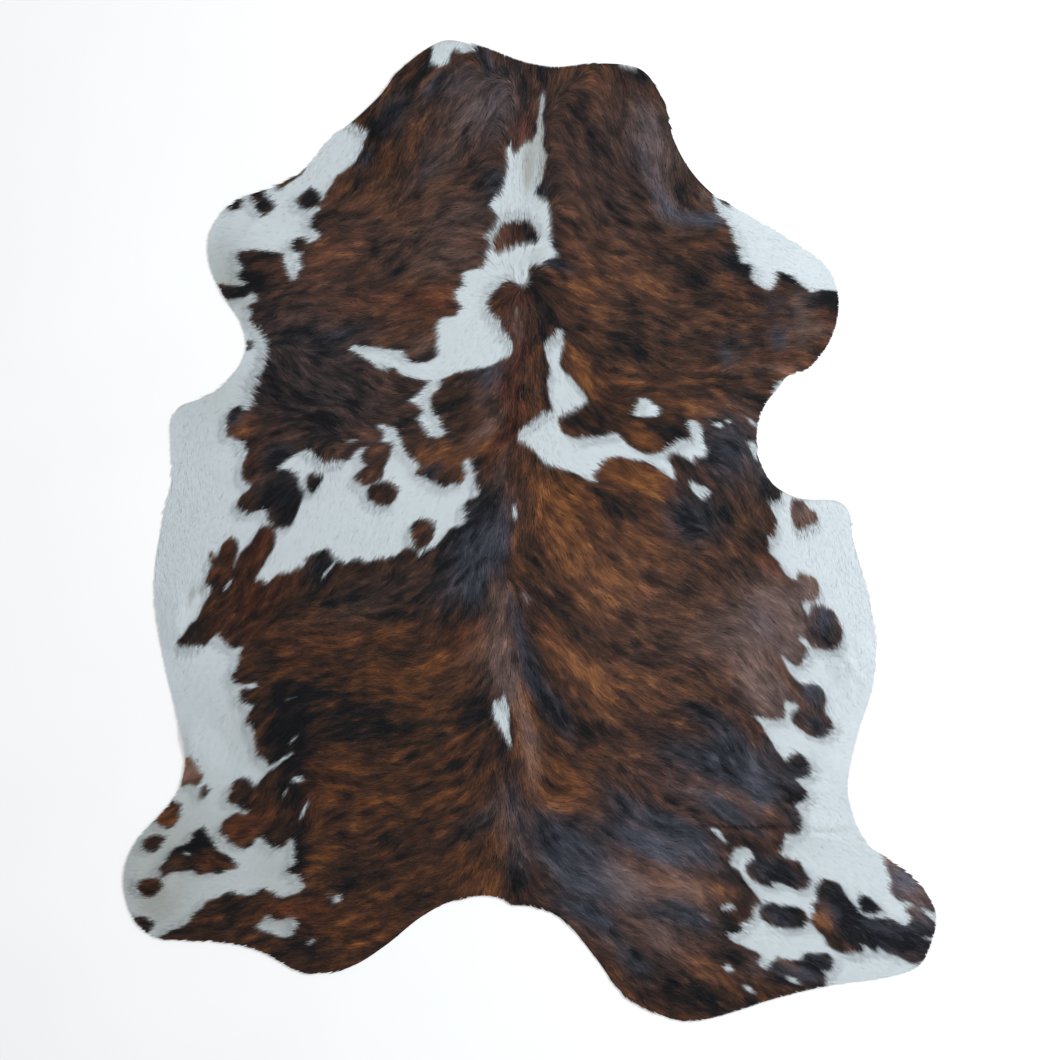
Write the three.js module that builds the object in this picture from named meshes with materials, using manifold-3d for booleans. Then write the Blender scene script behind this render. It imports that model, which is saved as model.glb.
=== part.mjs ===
import * as THREE from "three";
import { mergeVertices } from "three/addons/utils/BufferGeometryUtils.js";
import Module from "manifold-3d";

// A cowhide rug: one whole tanned skin with its short hair still on, laid out
// flat with the hair side up. Lengths are in millimetres.
//
// X runs across the hide and Y along the spine, with the neck at +Y and the
// hind legs at -Y. The floor is z = 0. The origin is on the floor, under the
// middle of the hide's length and width.

const wasm = await Module();
wasm.setup();

// ---------------------------------------------------------------- sizes

const LENGTH = 2200; // from the neck's edge to the lower hind leg
const WIDTH = 1820; // across the two hind legs
const SKIN = 2.5; // the tanned skin itself
const COAT = 3; // the short hair lying down on it
const THICKNESS = SKIN + COAT;
const GRID_STEP = 42; // spacing of the points that carry the folds
const CURVE_STEPS = 3; // straight steps from one outline point to the next
const PRISM_BELOW = 10; // how far the cutting prism starts under the floor
const PRISM_DEPTH = 80; // its whole height, well over the tallest fold

// The cut edge, clockwise from the left of the neck, as [x, y] on the floor.
// A smooth curve goes through the points of each stretch in turn.
const OUTLINE = {
  neckEdge: [
    [-300, 1024], [-218, 1087], [-178, 1099], [-100, 1079],
    [-20, 1049], [60, 1035], [172, 1047], [250, 1033],
  ],
  rightNeckSide: [
    [290, 986], [308, 938], [324, 878], [360, 810], [416, 750],
  ],
  rightForeleg: [
    [500, 698], [600, 640], [664, 589], [686, 546], [690, 484],
    [669, 418], [617, 356], [578, 346], [559, 320],
  ],
  rightWaist: [
    [528, 282], [509, 226], [513, 170], [546, 106], [604, 75],
  ],
  rightFlank: [
    [690, 68], [715, 46], [726, -16], [753, -116],
    [775, -228], [769, -344], [735, -454], [711, -574],
  ],
  rightHindLeg: [
    [722, -634], [756, -698], [824, -748], [872, -790], [909, -860],
    [903, -906], [873, -973], [822, -995], [660, -1021], [552, -1047],
    [404, -1092], [328, -1099], [280, -1082], [206, -1039],
  ],
  rump: [
    [142, -956], [80, -882], [24, -847], [-20, -840], [-40, -840],
    [-60, -826], [-108, -818], [-172, -833], [-240, -869], [-320, -933],
  ],
  leftHindLeg: [
    [-390, -977], [-456, -993], [-510, -990], [-600, -943], [-668, -925],
    [-778, -920], [-838, -912], [-885, -872], [-908, -780], [-881, -698],
    [-816, -626], [-784, -580],
  ],
  leftFlank: [
    [-770, -518], [-784, -430], [-819, -278], [-841, -110],
    [-824, 14], [-800, 130], [-801, 240], [-786, 276],
  ],
  leftWaist: [
    [-732, 299], [-674, 334], [-634, 398], [-645, 462], [-684, 522],
  ],
  leftForeleg: [
    [-714, 590], [-716, 656], [-690, 706], [-646, 745],
    [-568, 772], [-508, 806], [-440, 880], [-380, 932],
  ],
  leftNeckSide: [
    [-330, 982],
  ],
};

// Soft folds that lift the skin a little off the floor. Each runs from one
// point via a second to a third, rises to its full height along that line and
// falls to nothing over its reach on both sides.
const FOLDS = [
  { name: "right neck wave", from: [285, 985], via: [295, 790], to: [470, 640], reach: 95, rise: 9 },
  { name: "left neck wave", from: [-345, 960], via: [-290, 850], to: [-170, 740], reach: 85, rise: 6 },
  { name: "right foreleg fold", from: [560, 610], via: [570, 480], to: [560, 345], reach: 65, rise: 7 },
  { name: "left foreleg fold", from: [-700, 640], via: [-590, 640], to: [-480, 560], reach: 75, rise: 6 },
  { name: "shoulder fold", from: [455, 470], via: [438, 400], to: [450, 310], reach: 65, rise: 5 },
  { name: "right belly pucker", from: [660, -320], via: [715, -280], to: [775, -235], reach: 60, rise: 7 },
  { name: "left belly fold", from: [-775, -110], via: [-790, -190], to: [-760, -270], reach: 60, rise: 6 },
  { name: "right thigh fold", from: [700, -470], via: [640, -560], to: [560, -620], reach: 75, rise: 5 },
  { name: "left thigh fold", from: [-785, -430], via: [-735, -480], to: [-700, -560], reach: 70, rise: 8 },
  { name: "packing crease", from: [395, -664], via: [570, -668], to: [735, -672], reach: 60, rise: 6 },
  { name: "rump wave", from: [120, -640], via: [270, -790], to: [330, -980], reach: 110, rise: 8 },
  { name: "right shank fold", from: [740, -900], via: [820, -880], to: [900, -850], reach: 75, rise: 9 },
  { name: "left shank fold", from: [-780, -760], via: [-840, -770], to: [-905, -760], reach: 75, rise: 7 },
];
const FOLD_SAMPLES = 12; // points taken along each fold's line
const FOLD_FADE = 0.3; // share of the line over which each end dies away
const FOLD_END = 0.2; // share of the rise that is left at its very ends

// ---------------------------------------------------------------- outline

function outlinePoints() {
  const corners = Object.values(OUTLINE).flat();
  const curve = new THREE.CatmullRomCurve3(
    corners.map(([x, y]) => new THREE.Vector3(x, y, 0)),
    true,
    "centripetal",
  );
  const count = corners.length * CURVE_STEPS;
  const points = [];
  for (let i = 0; i < count; i++) {
    const p = curve.getPoint(i / count);
    points.push(new THREE.Vector2(p.x, p.y));
  }
  return fitToSize(points);
}

// Moves and stretches the outline so that its box is exactly WIDTH by LENGTH
// about the origin.
function fitToSize(points) {
  const box = new THREE.Box2().setFromPoints(points);
  const size = box.getSize(new THREE.Vector2());
  const middle = box.getCenter(new THREE.Vector2());
  const stretch = new THREE.Vector2(WIDTH / size.x, LENGTH / size.y);
  return points.map((p) => p.clone().sub(middle).multiply(stretch));
}

// ---------------------------------------------------------------- folds

function smooth(t) {
  const s = THREE.MathUtils.clamp(t, 0, 1);
  return s * s * (3 - 2 * s);
}

// Share of a fold's rise at a point this far along from one of its ends.
function endShare(along) {
  return FOLD_END + (1 - FOLD_END) * smooth(along / FOLD_FADE);
}

const foldLines = FOLDS.map((fold) => {
  const curve = new THREE.CatmullRomCurve3(
    [fold.from, fold.via, fold.to].map(([x, y]) => new THREE.Vector3(x, y, 0)),
  );
  return { ...fold, points: curve.getPoints(FOLD_SAMPLES) };
});

// How far one fold lifts the skin at x, y.
function foldLift(fold, x, y) {
  let nearest = Infinity;
  let along = 0;
  for (let i = 0; i < FOLD_SAMPLES; i++) {
    const a = fold.points[i];
    const b = fold.points[i + 1];
    const dx = b.x - a.x;
    const dy = b.y - a.y;
    const t = THREE.MathUtils.clamp(
      ((x - a.x) * dx + (y - a.y) * dy) / (dx * dx + dy * dy),
      0,
      1,
    );
    const d = Math.hypot(x - a.x - t * dx, y - a.y - t * dy);
    if (d < nearest) {
      nearest = d;
      along = (i + t) / FOLD_SAMPLES;
    }
  }
  if (nearest >= fold.reach) return 0;
  const across = Math.cos((Math.PI / 2) * (nearest / fold.reach)) ** 2;
  const ends = endShare(along) * endShare(1 - along);
  return fold.rise * across * ends;
}

// Height of the skin's underside over the floor at x, y.
function liftAt(x, y) {
  return foldLines.reduce((sum, fold) => sum + foldLift(fold, x, y), 0);
}

// ---------------------------------------------------------------- solids

function toSolid(geometry) {
  const bare = geometry.clone();
  bare.deleteAttribute("normal");
  bare.deleteAttribute("uv");
  const merged = mergeVertices(bare, 1e-4);
  return new wasm.Manifold(
    new wasm.Mesh({
      numProp: 3,
      vertProperties: new Float32Array(merged.attributes.position.array),
      triVerts: new Uint32Array(merged.index.array),
    }),
  );
}

function toGeometry(solid) {
  const mesh = solid.getMesh();
  const geometry = new THREE.BufferGeometry();
  geometry.setAttribute("position", new THREE.BufferAttribute(mesh.vertProperties, 3));
  geometry.setIndex(new THREE.BufferAttribute(mesh.triVerts, 1));
  geometry.computeVertexNormals();
  return geometry;
}

// A sheet larger than the hide, THICKNESS deep everywhere, that rises and
// falls with the folds: a grid of points above and the same grid below.
function foldedSheet() {
  const columns = Math.ceil(WIDTH / GRID_STEP) + 2;
  const rows = Math.ceil(LENGTH / GRID_STEP) + 2;
  const positions = [];
  for (const depth of [THICKNESS, 0]) {
    for (let r = 0; r <= rows; r++) {
      for (let c = 0; c <= columns; c++) {
        const x = (c - columns / 2) * GRID_STEP;
        const y = (r - rows / 2) * GRID_STEP;
        positions.push(x, y, liftAt(x, y) + depth);
      }
    }
  }
  const layer = (rows + 1) * (columns + 1);
  const top = (r, c) => r * (columns + 1) + c;
  const under = (r, c) => layer + top(r, c);
  const faces = [];
  const quad = (a, b, c, d) => faces.push(a, b, c, a, c, d);
  for (let r = 0; r < rows; r++) {
    for (let c = 0; c < columns; c++) {
      quad(top(r, c), top(r, c + 1), top(r + 1, c + 1), top(r + 1, c));
      quad(under(r, c), under(r + 1, c), under(r + 1, c + 1), under(r, c + 1));
    }
  }
  for (let c = 0; c < columns; c++) {
    quad(under(0, c), under(0, c + 1), top(0, c + 1), top(0, c));
    quad(under(rows, c + 1), under(rows, c), top(rows, c), top(rows, c + 1));
  }
  for (let r = 0; r < rows; r++) {
    quad(under(r + 1, 0), under(r, 0), top(r, 0), top(r + 1, 0));
    quad(under(r, columns), under(r + 1, columns), top(r + 1, columns), top(r, columns));
  }
  const geometry = new THREE.BufferGeometry();
  geometry.setAttribute("position", new THREE.Float32BufferAttribute(positions, 3));
  geometry.setIndex(faces);
  return geometry;
}

// The upright prism over the outline, which cuts the sheet to shape.
function outlinePrism() {
  const prism = new THREE.ExtrudeGeometry(new THREE.Shape(outlinePoints()), {
    depth: PRISM_DEPTH,
    bevelEnabled: false,
  });
  return prism.translate(0, 0, -PRISM_BELOW);
}

const hideSolid = toSolid(foldedSheet()).intersect(toSolid(outlinePrism()));

// ---------------------------------------------------------------- rug

const hide = new THREE.Mesh(
  toGeometry(hideSolid),
  new THREE.MeshStandardMaterial({ color: 0x4a3326, roughness: 0.85, metalness: 0 }),
);
hide.name = "hide";

const group = new THREE.Group();
group.add(hide);

export default group;
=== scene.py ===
# %% [markdown]
# # A cowhide rug
# The rug is one tanned skin, about 2.2 m long, with its short coat left on. It lies
# flat on the floor, so nearly everything that is seen is hair: which way each tuft
# is combed, and what colour it has there. One image could be laid on a plane, but it
# would look painted on from the side. Here the skin is a thin folded sheet, and the
# coat is some 280,000 small tufts that stand on it, each with its own direction and
# colour, taken from charts that are drawn in millimetres.

# %% The imported model
import math

import bpy
import numpy as np
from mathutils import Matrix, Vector
from mathutils.geometry import delaunay_2d_cdt


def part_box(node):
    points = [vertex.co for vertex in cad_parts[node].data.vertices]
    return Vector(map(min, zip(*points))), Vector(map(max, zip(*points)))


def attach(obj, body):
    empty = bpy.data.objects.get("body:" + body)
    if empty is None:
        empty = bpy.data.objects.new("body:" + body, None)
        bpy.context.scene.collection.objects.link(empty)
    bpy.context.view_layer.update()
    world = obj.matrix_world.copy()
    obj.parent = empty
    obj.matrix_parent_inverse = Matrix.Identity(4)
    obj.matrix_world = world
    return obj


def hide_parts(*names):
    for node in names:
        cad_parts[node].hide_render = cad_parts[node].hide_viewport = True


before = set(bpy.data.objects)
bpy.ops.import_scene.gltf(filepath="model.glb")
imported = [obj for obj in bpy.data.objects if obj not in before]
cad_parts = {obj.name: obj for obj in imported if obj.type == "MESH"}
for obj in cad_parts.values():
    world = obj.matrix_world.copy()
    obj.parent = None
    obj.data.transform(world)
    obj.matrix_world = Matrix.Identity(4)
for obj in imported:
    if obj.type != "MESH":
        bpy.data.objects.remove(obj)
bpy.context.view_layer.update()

MM = 0.001
hide_low, hide_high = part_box("hide")
hide_size = hide_high - hide_low
print("hide, mm:", [round(side / MM, 1) for side in hide_size])

# %% [markdown]
# ## The camera
# The hide is looked at from straight above. A long lens from high up keeps the edges
# of a flat thing as true as a plan. The field is worked out from the floor's width
# that has to fit in the square picture, so the lens follows from the height.

# %% The camera
CAMERA_HEIGHT = 7.0
FIELD_WIDTH = 2.372  # metres of floor across the square picture
SENSOR = 36.0

camera_data = bpy.data.cameras.new("camera")
camera_data.sensor_width = SENSOR
camera_data.lens = SENSOR * CAMERA_HEIGHT / FIELD_WIDTH
camera_data.clip_end = 50.0
camera = bpy.data.objects.new("camera", camera_data)
camera.location = (0.0, 0.0, CAMERA_HEIGHT)
bpy.context.scene.collection.objects.link(camera)
bpy.context.scene.camera = camera
print("lens, mm:", round(camera_data.lens, 1))

# %% [markdown]
# ## Charts
# A chart is a plain array over the floor under the hide, with a value for each small
# square. All of the coat's facts are kept that way: where it is white, which way it
# is combed, how tan it is. Three small helpers do most of the work: one reads a chart
# at any point, one blurs it, and one fills the inside of a drawn patch.

# %% Cells of a chart
CELL = 2 * MM
CHART_LEFT, CHART_BOTTOM = -0.94, -1.13
COLUMNS = round(-2 * CHART_LEFT / CELL)
ROWS = round(-2 * CHART_BOTTOM / CELL)
FAR = 9.0  # metres, further than anything on a chart


def chart_axes(cell):
    """The x and y of the middles of a chart's cells, as two grids."""
    x = np.arange(CHART_LEFT + cell / 2, -CHART_LEFT, cell)
    y = np.arange(CHART_BOTTOM + cell / 2, -CHART_BOTTOM, cell)
    return np.meshgrid(x, y)


def look_up(chart, x, y, cell=CELL):
    """The chart's values at points x, y, blended between the four nearest cells."""
    column = np.clip((x - CHART_LEFT) / cell - 0.5, 0, chart.shape[1] - 1.001)
    row = np.clip((y - CHART_BOTTOM) / cell - 0.5, 0, chart.shape[0] - 1.001)
    c, r = column.astype(int), row.astype(int)
    u, v = column - c, row - r
    low = chart[r, c] * (1 - u) + chart[r, c + 1] * u
    high = chart[r + 1, c] * (1 - u) + chart[r + 1, c + 1] * u
    return low * (1 - v) + high * v


print("chart:", COLUMNS, "by", ROWS, "cells")

# %% Blurring and filling
def soften(chart, radius, cell=CELL, times=3):
    """The chart blurred: three passes of a plain average look like a soft brush."""
    reach = max(1, round(radius / cell))
    span = 2 * reach + 1
    for _ in range(times):
        for axis in (0, 1):
            pad = [(reach + 1, reach) if a == axis else (0, 0) for a in (0, 1)]
            total = np.cumsum(np.pad(chart, pad, mode="edge"), axis=axis)
            length = chart.shape[axis]
            upper = np.take(total, range(span, span + length), axis=axis)
            lower = np.take(total, range(0, length), axis=axis)
            chart = (upper - lower) / span
    return chart


def fill_patch(chart, corners, value, cell=CELL):
    """Sets the cells inside a closed patch, whose corners are in metres."""
    x = (corners[:, 0] - CHART_LEFT) / cell
    y = (corners[:, 1] - CHART_BOTTOM) / cell
    next_x, next_y = np.roll(x, -1), np.roll(y, -1)
    first = max(0, math.ceil(y.min() - 0.5))
    last = min(chart.shape[0] - 1, math.floor(y.max() - 0.5))
    for row in range(first, last + 1):
        middle = row + 0.5
        crossed = (y <= middle) != (next_y <= middle)
        share = (middle - y[crossed]) / (next_y[crossed] - y[crossed])
        hits = np.sort(x[crossed] + share * (next_x[crossed] - x[crossed]))
        for start, stop in zip(hits[::2], hits[1::2]):
            chart[row, max(0, round(start)):max(0, round(stop))] = value


def ramp(value, low, high):
    """Rises smoothly from 0 at low to 1 at high."""
    t = np.clip((value - low) / (high - low), 0, 1)
    return t * t * (3 - 2 * t)


print("a ramp at its quarters:", ramp(np.array([0.25, 0.5, 0.75]), 0, 1))

# %% [markdown]
# ## The cut edge
# A whole hide keeps the animal's plan: neck at the top, two forelegs, a narrow waist
# at each side, the flanks, two hind legs and a hollow at the rump. The corners below
# were placed one by one, and one closed smooth curve goes through them. It is fitted to
# the imported model's box, and then drawn in a little, because the hair hangs over the
# cut and makes the last few millimetres of the outline.

# %% The cut edge
OUTLINE = {
    "neck edge": [
        (-300, 1024), (-218, 1087), (-178, 1099), (-100, 1079), (-20, 1049), (60, 1035), (172, 1047),
        (250, 1033),
    ],
    "right neck side": [(290, 986), (308, 938), (324, 878), (360, 810), (416, 750)],
    "right foreleg": [
        (500, 698), (600, 640), (664, 589), (686, 546), (690, 484), (669, 418), (617, 356), (578, 346),
        (559, 320),
    ],
    "right waist": [(528, 282), (509, 226), (513, 170), (546, 106), (604, 75)],
    "right flank": [
        (690, 68), (715, 46), (726, -16), (753, -116), (775, -228), (769, -344), (735, -454), (711, -574),
    ],
    "right hind leg": [
        (722, -634), (756, -698), (824, -748), (872, -790), (909, -860), (903, -906), (873, -973),
        (822, -995), (660, -1021), (552, -1047), (404, -1092), (328, -1099), (280, -1082), (206, -1039),
    ],
    "rump": [
        (142, -956), (80, -882), (24, -847), (-20, -840), (-40, -840), (-60, -826), (-108, -818),
        (-172, -833), (-240, -869), (-320, -933),
    ],
    "left hind leg": [
        (-390, -977), (-456, -993), (-510, -990), (-600, -943), (-668, -925), (-778, -920), (-838, -912),
        (-885, -872), (-908, -780), (-881, -698), (-816, -626), (-784, -580),
    ],
    "left flank": [
        (-770, -518), (-784, -430), (-819, -278), (-841, -110), (-824, 14), (-800, 130), (-801, 240),
        (-786, 276),
    ],
    "left waist": [(-732, 299), (-674, 334), (-634, 398), (-645, 462), (-684, 522)],
    "left foreleg": [
        (-714, 590), (-716, 656), (-690, 706), (-646, 745), (-568, 772), (-508, 806), (-440, 880),
        (-380, 932),
    ],
    "left neck side": [(-330, 982)],
}
print("corners:", sum(len(stretch) for stretch in OUTLINE.values()))

# %% A smooth line through the corners
HAIR_OVERHANG = 4 * MM
EDGE_STEPS = 10  # points from one corner to the next


def curve_through(corners, steps, closed):
    """Points on a smooth centripetal curve through the corners, x and y in a row."""
    p = np.array(corners, float)
    if closed:
        p = np.vstack([p[-1:], p, p[:2]])
    else:
        p = np.vstack([2 * p[0] - p[1], p, 2 * p[-1] - p[-2]])
    made = []
    for before, start, stop, after in zip(p, p[1:], p[2:], p[3:]):
        spans = ((before, start), (start, stop), (stop, after))
        gap = [math.sqrt(math.dist(a, b)) for a, b in spans]
        lean_in = (start - before) / gap[0] - (stop - before) / (gap[0] + gap[1])
        lean_in = (lean_in + (stop - start) / gap[1]) * gap[1]
        lean_out = (stop - start) / gap[1] - (after - start) / (gap[1] + gap[2])
        lean_out = (lean_out + (after - stop) / gap[2]) * gap[1]
        for t in np.arange(steps) / steps:
            bend = 2 * start - 2 * stop + lean_in + lean_out
            sweep = 3 * stop - 3 * start - 2 * lean_in - lean_out
            made.append(start + lean_in * t + sweep * t ** 2 + bend * t ** 3)
    if not closed:
        made.append(p[-2])
    return np.array(made)


def fit_to_hide(points):
    """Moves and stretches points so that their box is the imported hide's box."""
    low, high = points.min(0), points.max(0)
    wanted_low = np.array(hide_low[:2])
    wanted = np.array(hide_size[:2])
    return (points - low) / (high - low) * wanted + wanted_low


def drawn_in(points, depth):
    """The closed line moved inwards by a depth; it runs clockwise."""
    along = np.roll(points, -1, 0) - np.roll(points, 1, 0)
    along /= np.linalg.norm(along, axis=1)[:, None]
    inwards = np.column_stack([along[:, 1], -along[:, 0]])
    return points + inwards * depth


all_corners = [corner for stretch in OUTLINE.values() for corner in stretch]
full_edge = fit_to_hide(curve_through(all_corners, EDGE_STEPS, closed=True))
cut_edge = drawn_in(full_edge, HAIR_OVERHANG)

# %% [markdown]
# Hair has to know how far it is from the cut edge, so that no tuft sticks out too
# far. A chart of that distance is made once on wide cells: above zero inside the
# full outline and below zero outside.

# %% Distance from the edge
WIDE_CELL = 8 * MM


def distance_chart(edge):
    """Signed distance to a closed line on the wide chart."""
    px, py = chart_axes(WIDE_CELL)
    nearest = np.full(px.shape, FAR)
    for (ax, ay), (bx, by) in zip(edge, np.roll(edge, -1, 0)):
        dx, dy = bx - ax, by - ay
        t = np.clip(((px - ax) * dx + (py - ay) * dy) / (dx * dx + dy * dy), 0, 1)
        nearest = np.minimum(nearest, (px - ax - t * dx) ** 2 + (py - ay - t * dy) ** 2)
    inside = np.zeros(px.shape)
    fill_patch(inside, edge, 1.0, WIDE_CELL)
    return np.sqrt(nearest) * np.where(inside > 0, 1, -1)


edge_distance = distance_chart(full_edge[::2])
print("deepest point from the edge, m:", round(edge_distance.max(), 2))

# %% [markdown]
# ## The folds
# A hide that was folded for the post never lies quite flat: the neck waves, the legs
# curl and the belly's thin skin puckers. Cloth simulation could find some folds, but
# not these ones. Each fold is a row in a table instead: three points that it runs
# through, how far its slopes reach and how high it rises. The first table holds the
# imported model's own folds, and the second the small creases in the thin skin. Some of
# those sink instead of rising. Over such a narrow trough the coat gets painted shade, a
# thin dark line in its colour, and it gets a chart of where that shade goes.

# %% The folds
FOLDS = [
    # from, via, to, reach, rise (all in mm)
    ((285, 985), (295, 790), (470, 640), 95, 9),  # right neck wave
    ((-345, 960), (-290, 850), (-170, 740), 85, 6),  # left neck wave
    ((560, 610), (570, 480), (560, 345), 65, 7),  # right foreleg fold
    ((-700, 640), (-590, 640), (-480, 560), 75, 6),  # left foreleg fold
    ((455, 470), (438, 400), (450, 310), 65, 5),  # shoulder fold
    ((660, -320), (715, -280), (775, -235), 60, 7),  # right belly pucker
    ((-775, -110), (-790, -190), (-760, -270), 60, 6),  # left belly fold
    ((700, -470), (640, -560), (560, -620), 75, 5),  # right thigh fold
    ((-785, -430), (-735, -480), (-700, -560), 70, 8),  # left thigh fold
    ((395, -664), (570, -668), (735, -672), 60, 6),  # packing crease
    ((120, -640), (270, -790), (330, -980), 110, 8),  # rump wave
    ((740, -900), (820, -880), (900, -850), 75, 9),  # right shank fold
    ((-780, -760), (-840, -770), (-905, -760), 75, 7),  # left shank fold
]
CREASES = [
    # a rise below zero makes a trough
    ((568, 536), (585, 450), (598, 366), 18, 1.6),  # right foreleg
    ((-772, -133), (-782, -190), (-770, -245), 16, 1.6),  # left belly
    ((670, -245), (720, -300), (760, -335), 16, 2.4),  # right belly, down
    ((672, -335), (715, -300), (762, -262), 16, 2.4),  # right belly, up
    ((705, -240), (715, -300), (712, -380), 14, 1.4),  # right belly, along
    ((385, -662), (480, -666), (590, -663), 7, -2.0),  # packing crease, in the brindle
    ((590, -663), (660, -671), (728, -668), 7, -1.6),  # packing crease, in the white
    ((156, -440), (155, -490), (151, -545), 9, 1.2),  # right ribs
    ((437, 460), (440, 420), (434, 375), 9, 1.2),  # right shoulder
    ((-800, 206), (-720, 203), (-640, 200), 10, 1.2),  # left waist
    ((-745, -430), (-750, -490), (-728, -540), 16, 2.2),  # left thigh
    ((-700, 60), (-760, 20), (-820, 10), 16, 1.2),  # left flank
    ((-640, 640), (-600, 700), (-590, 760), 16, 1.2),  # left foreleg
]
print("folds:", len(FOLDS), " creases:", len(CREASES))

# %% Height over the floor
FOLD_STEPS = 6
FOLD_FADE = 0.3  # share of the line over which each end dies away
FOLD_END = 0.2  # share of the rise left at its very ends


def end_share(along):
    return FOLD_END + (1 - FOLD_END) * ramp(along / FOLD_FADE, 0, 1)


def fold_lift(fold, x, y):
    """How far one fold lifts the skin at points x, y."""
    *line, reach, rise = fold
    spine = curve_through(np.array(line) * MM, FOLD_STEPS, closed=False)
    nearest, along = np.full(x.shape, FAR), np.zeros(x.shape)
    for i, ((ax, ay), (bx, by)) in enumerate(zip(spine, spine[1:])):
        dx, dy = bx - ax, by - ay
        t = np.clip(((x - ax) * dx + (y - ay) * dy) / (dx * dx + dy * dy), 0, 1)
        gap = np.hypot(x - ax - t * dx, y - ay - t * dy)
        along = np.where(gap < nearest, (i + t) / (len(spine) - 1), along)
        nearest = np.minimum(gap, nearest)
    across = np.cos(np.pi / 2 * np.clip(nearest / (reach * MM), 0, 1)) ** 2
    return rise * MM * across * end_share(along) * end_share(1 - along)


def lift_at(x, y):
    """Height of the skin's underside over the floor."""
    return sum(fold_lift(fold, x, y) for fold in FOLDS + CREASES)


FOLD_CELL = 3 * MM
CREASE_SHADE_DEPTH = 1.6 * MM  # a trough as deep as this gets the full painted shade
fold_x, fold_y = chart_axes(FOLD_CELL)
lift_chart = lift_at(fold_x, fold_y)
slope_y, slope_x = np.gradient(lift_chart, FOLD_CELL)
troughs = [crease for crease in CREASES if crease[-1] < 0]
crease_shade_chart = sum(fold_lift(trough, fold_x, fold_y) for trough in troughs) / -CREASE_SHADE_DEPTH
print("tallest fold, mm:", round(lift_chart.max() / MM, 1))

# %% [markdown]
# ## The skin
# Tanned cowhide is 2 to 3 mm thick, with a suede underside and a cut edge. The sheet
# is a net of even triangles inside the cut edge, made twice, above and below, and
# joined by a rim. Blender's constrained triangulation takes the edge's line and a
# loose grid of points and gives back triangles of much the same size, which bend over
# the folds more evenly than a fan would.

# %% A net of points
SKIN = 2.5 * MM
NET_STEP = 12.5 * MM


def net_points(step, margin):
    """Points in offset rows, all of them further than the margin inside the edge."""
    rows = np.arange(hide_low.y, hide_high.y, step * math.sqrt(3) / 2)
    points = []
    for i, y in enumerate(rows):
        x = np.arange(hide_low.x, hide_high.x, step) + (i % 2) * step / 2
        points.append(np.column_stack([x, np.full(len(x), y)]))
    points = np.vstack(points)
    deep = look_up(edge_distance, *points.T, WIDE_CELL) > margin
    return points[deep]


print("net:", len(net_points(NET_STEP, NET_STEP)), "points")

# %% The skin's sheet
def skin_sheet():
    """The skin as vertices, faces and each face's side: 0 hair, 1 suede, 2 edge."""
    loop = cut_edge
    inner = net_points(NET_STEP, HAIR_OVERHANG + NET_STEP * 0.6)
    flat = [Vector(p) for p in np.vstack([loop, inner])]
    found = delaunay_2d_cdt(flat, [], [list(range(len(loop)))], 1, 1e-6)
    plan = np.array([tuple(v) for v in found[0]])
    triangles = np.array(found[2])
    a, b, c = (plan[triangles[:, i]] for i in range(3))
    turned = np.cross(b - a, c - a) < 0
    triangles[turned] = triangles[turned][:, ::-1]
    under = lift_at(*plan.T)
    count = len(plan)
    vertices = np.vstack([
        np.column_stack([plan, under + SKIN]),
        np.column_stack([plan, under]),
    ])
    faces = [tuple(t) for t in triangles]
    faces += [tuple(t[::-1] + count) for t in triangles]
    start = np.arange(len(loop))
    stop = np.roll(start, -1)
    faces += [(i, j, j + count, i + count) for i, j in zip(start, stop)]
    sides = [0] * len(triangles) + [1] * len(triangles) + [2] * len(loop)
    return vertices, faces, sides


def new_piece(name, vertices, faces):
    """A mesh object from plain lists."""
    mesh = bpy.data.meshes.new(name)
    mesh.from_pydata([tuple(v) for v in vertices], [], faces)
    mesh.update()
    piece = bpy.data.objects.new(name, mesh)
    bpy.context.scene.collection.objects.link(piece)
    return piece


skin_vertices, skin_faces, skin_sides = skin_sheet()
skin = new_piece("skin", skin_vertices, skin_faces)
skin.data.polygons.foreach_set("material_index", skin_sides)
print("skin:", len(skin_vertices), "vertices,", len(skin_faces), "faces")

# %% [markdown]
# ## White and dark patches
# The coat is a dark brindle with white along both sides, down the face and over the
# shoulders. Noise can't give one animal's own patches, so they are drawn as closed
# lines in millimetres, the white ones first. Corners beyond the cut edge cost
# nothing, since no hair grows there.

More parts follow.
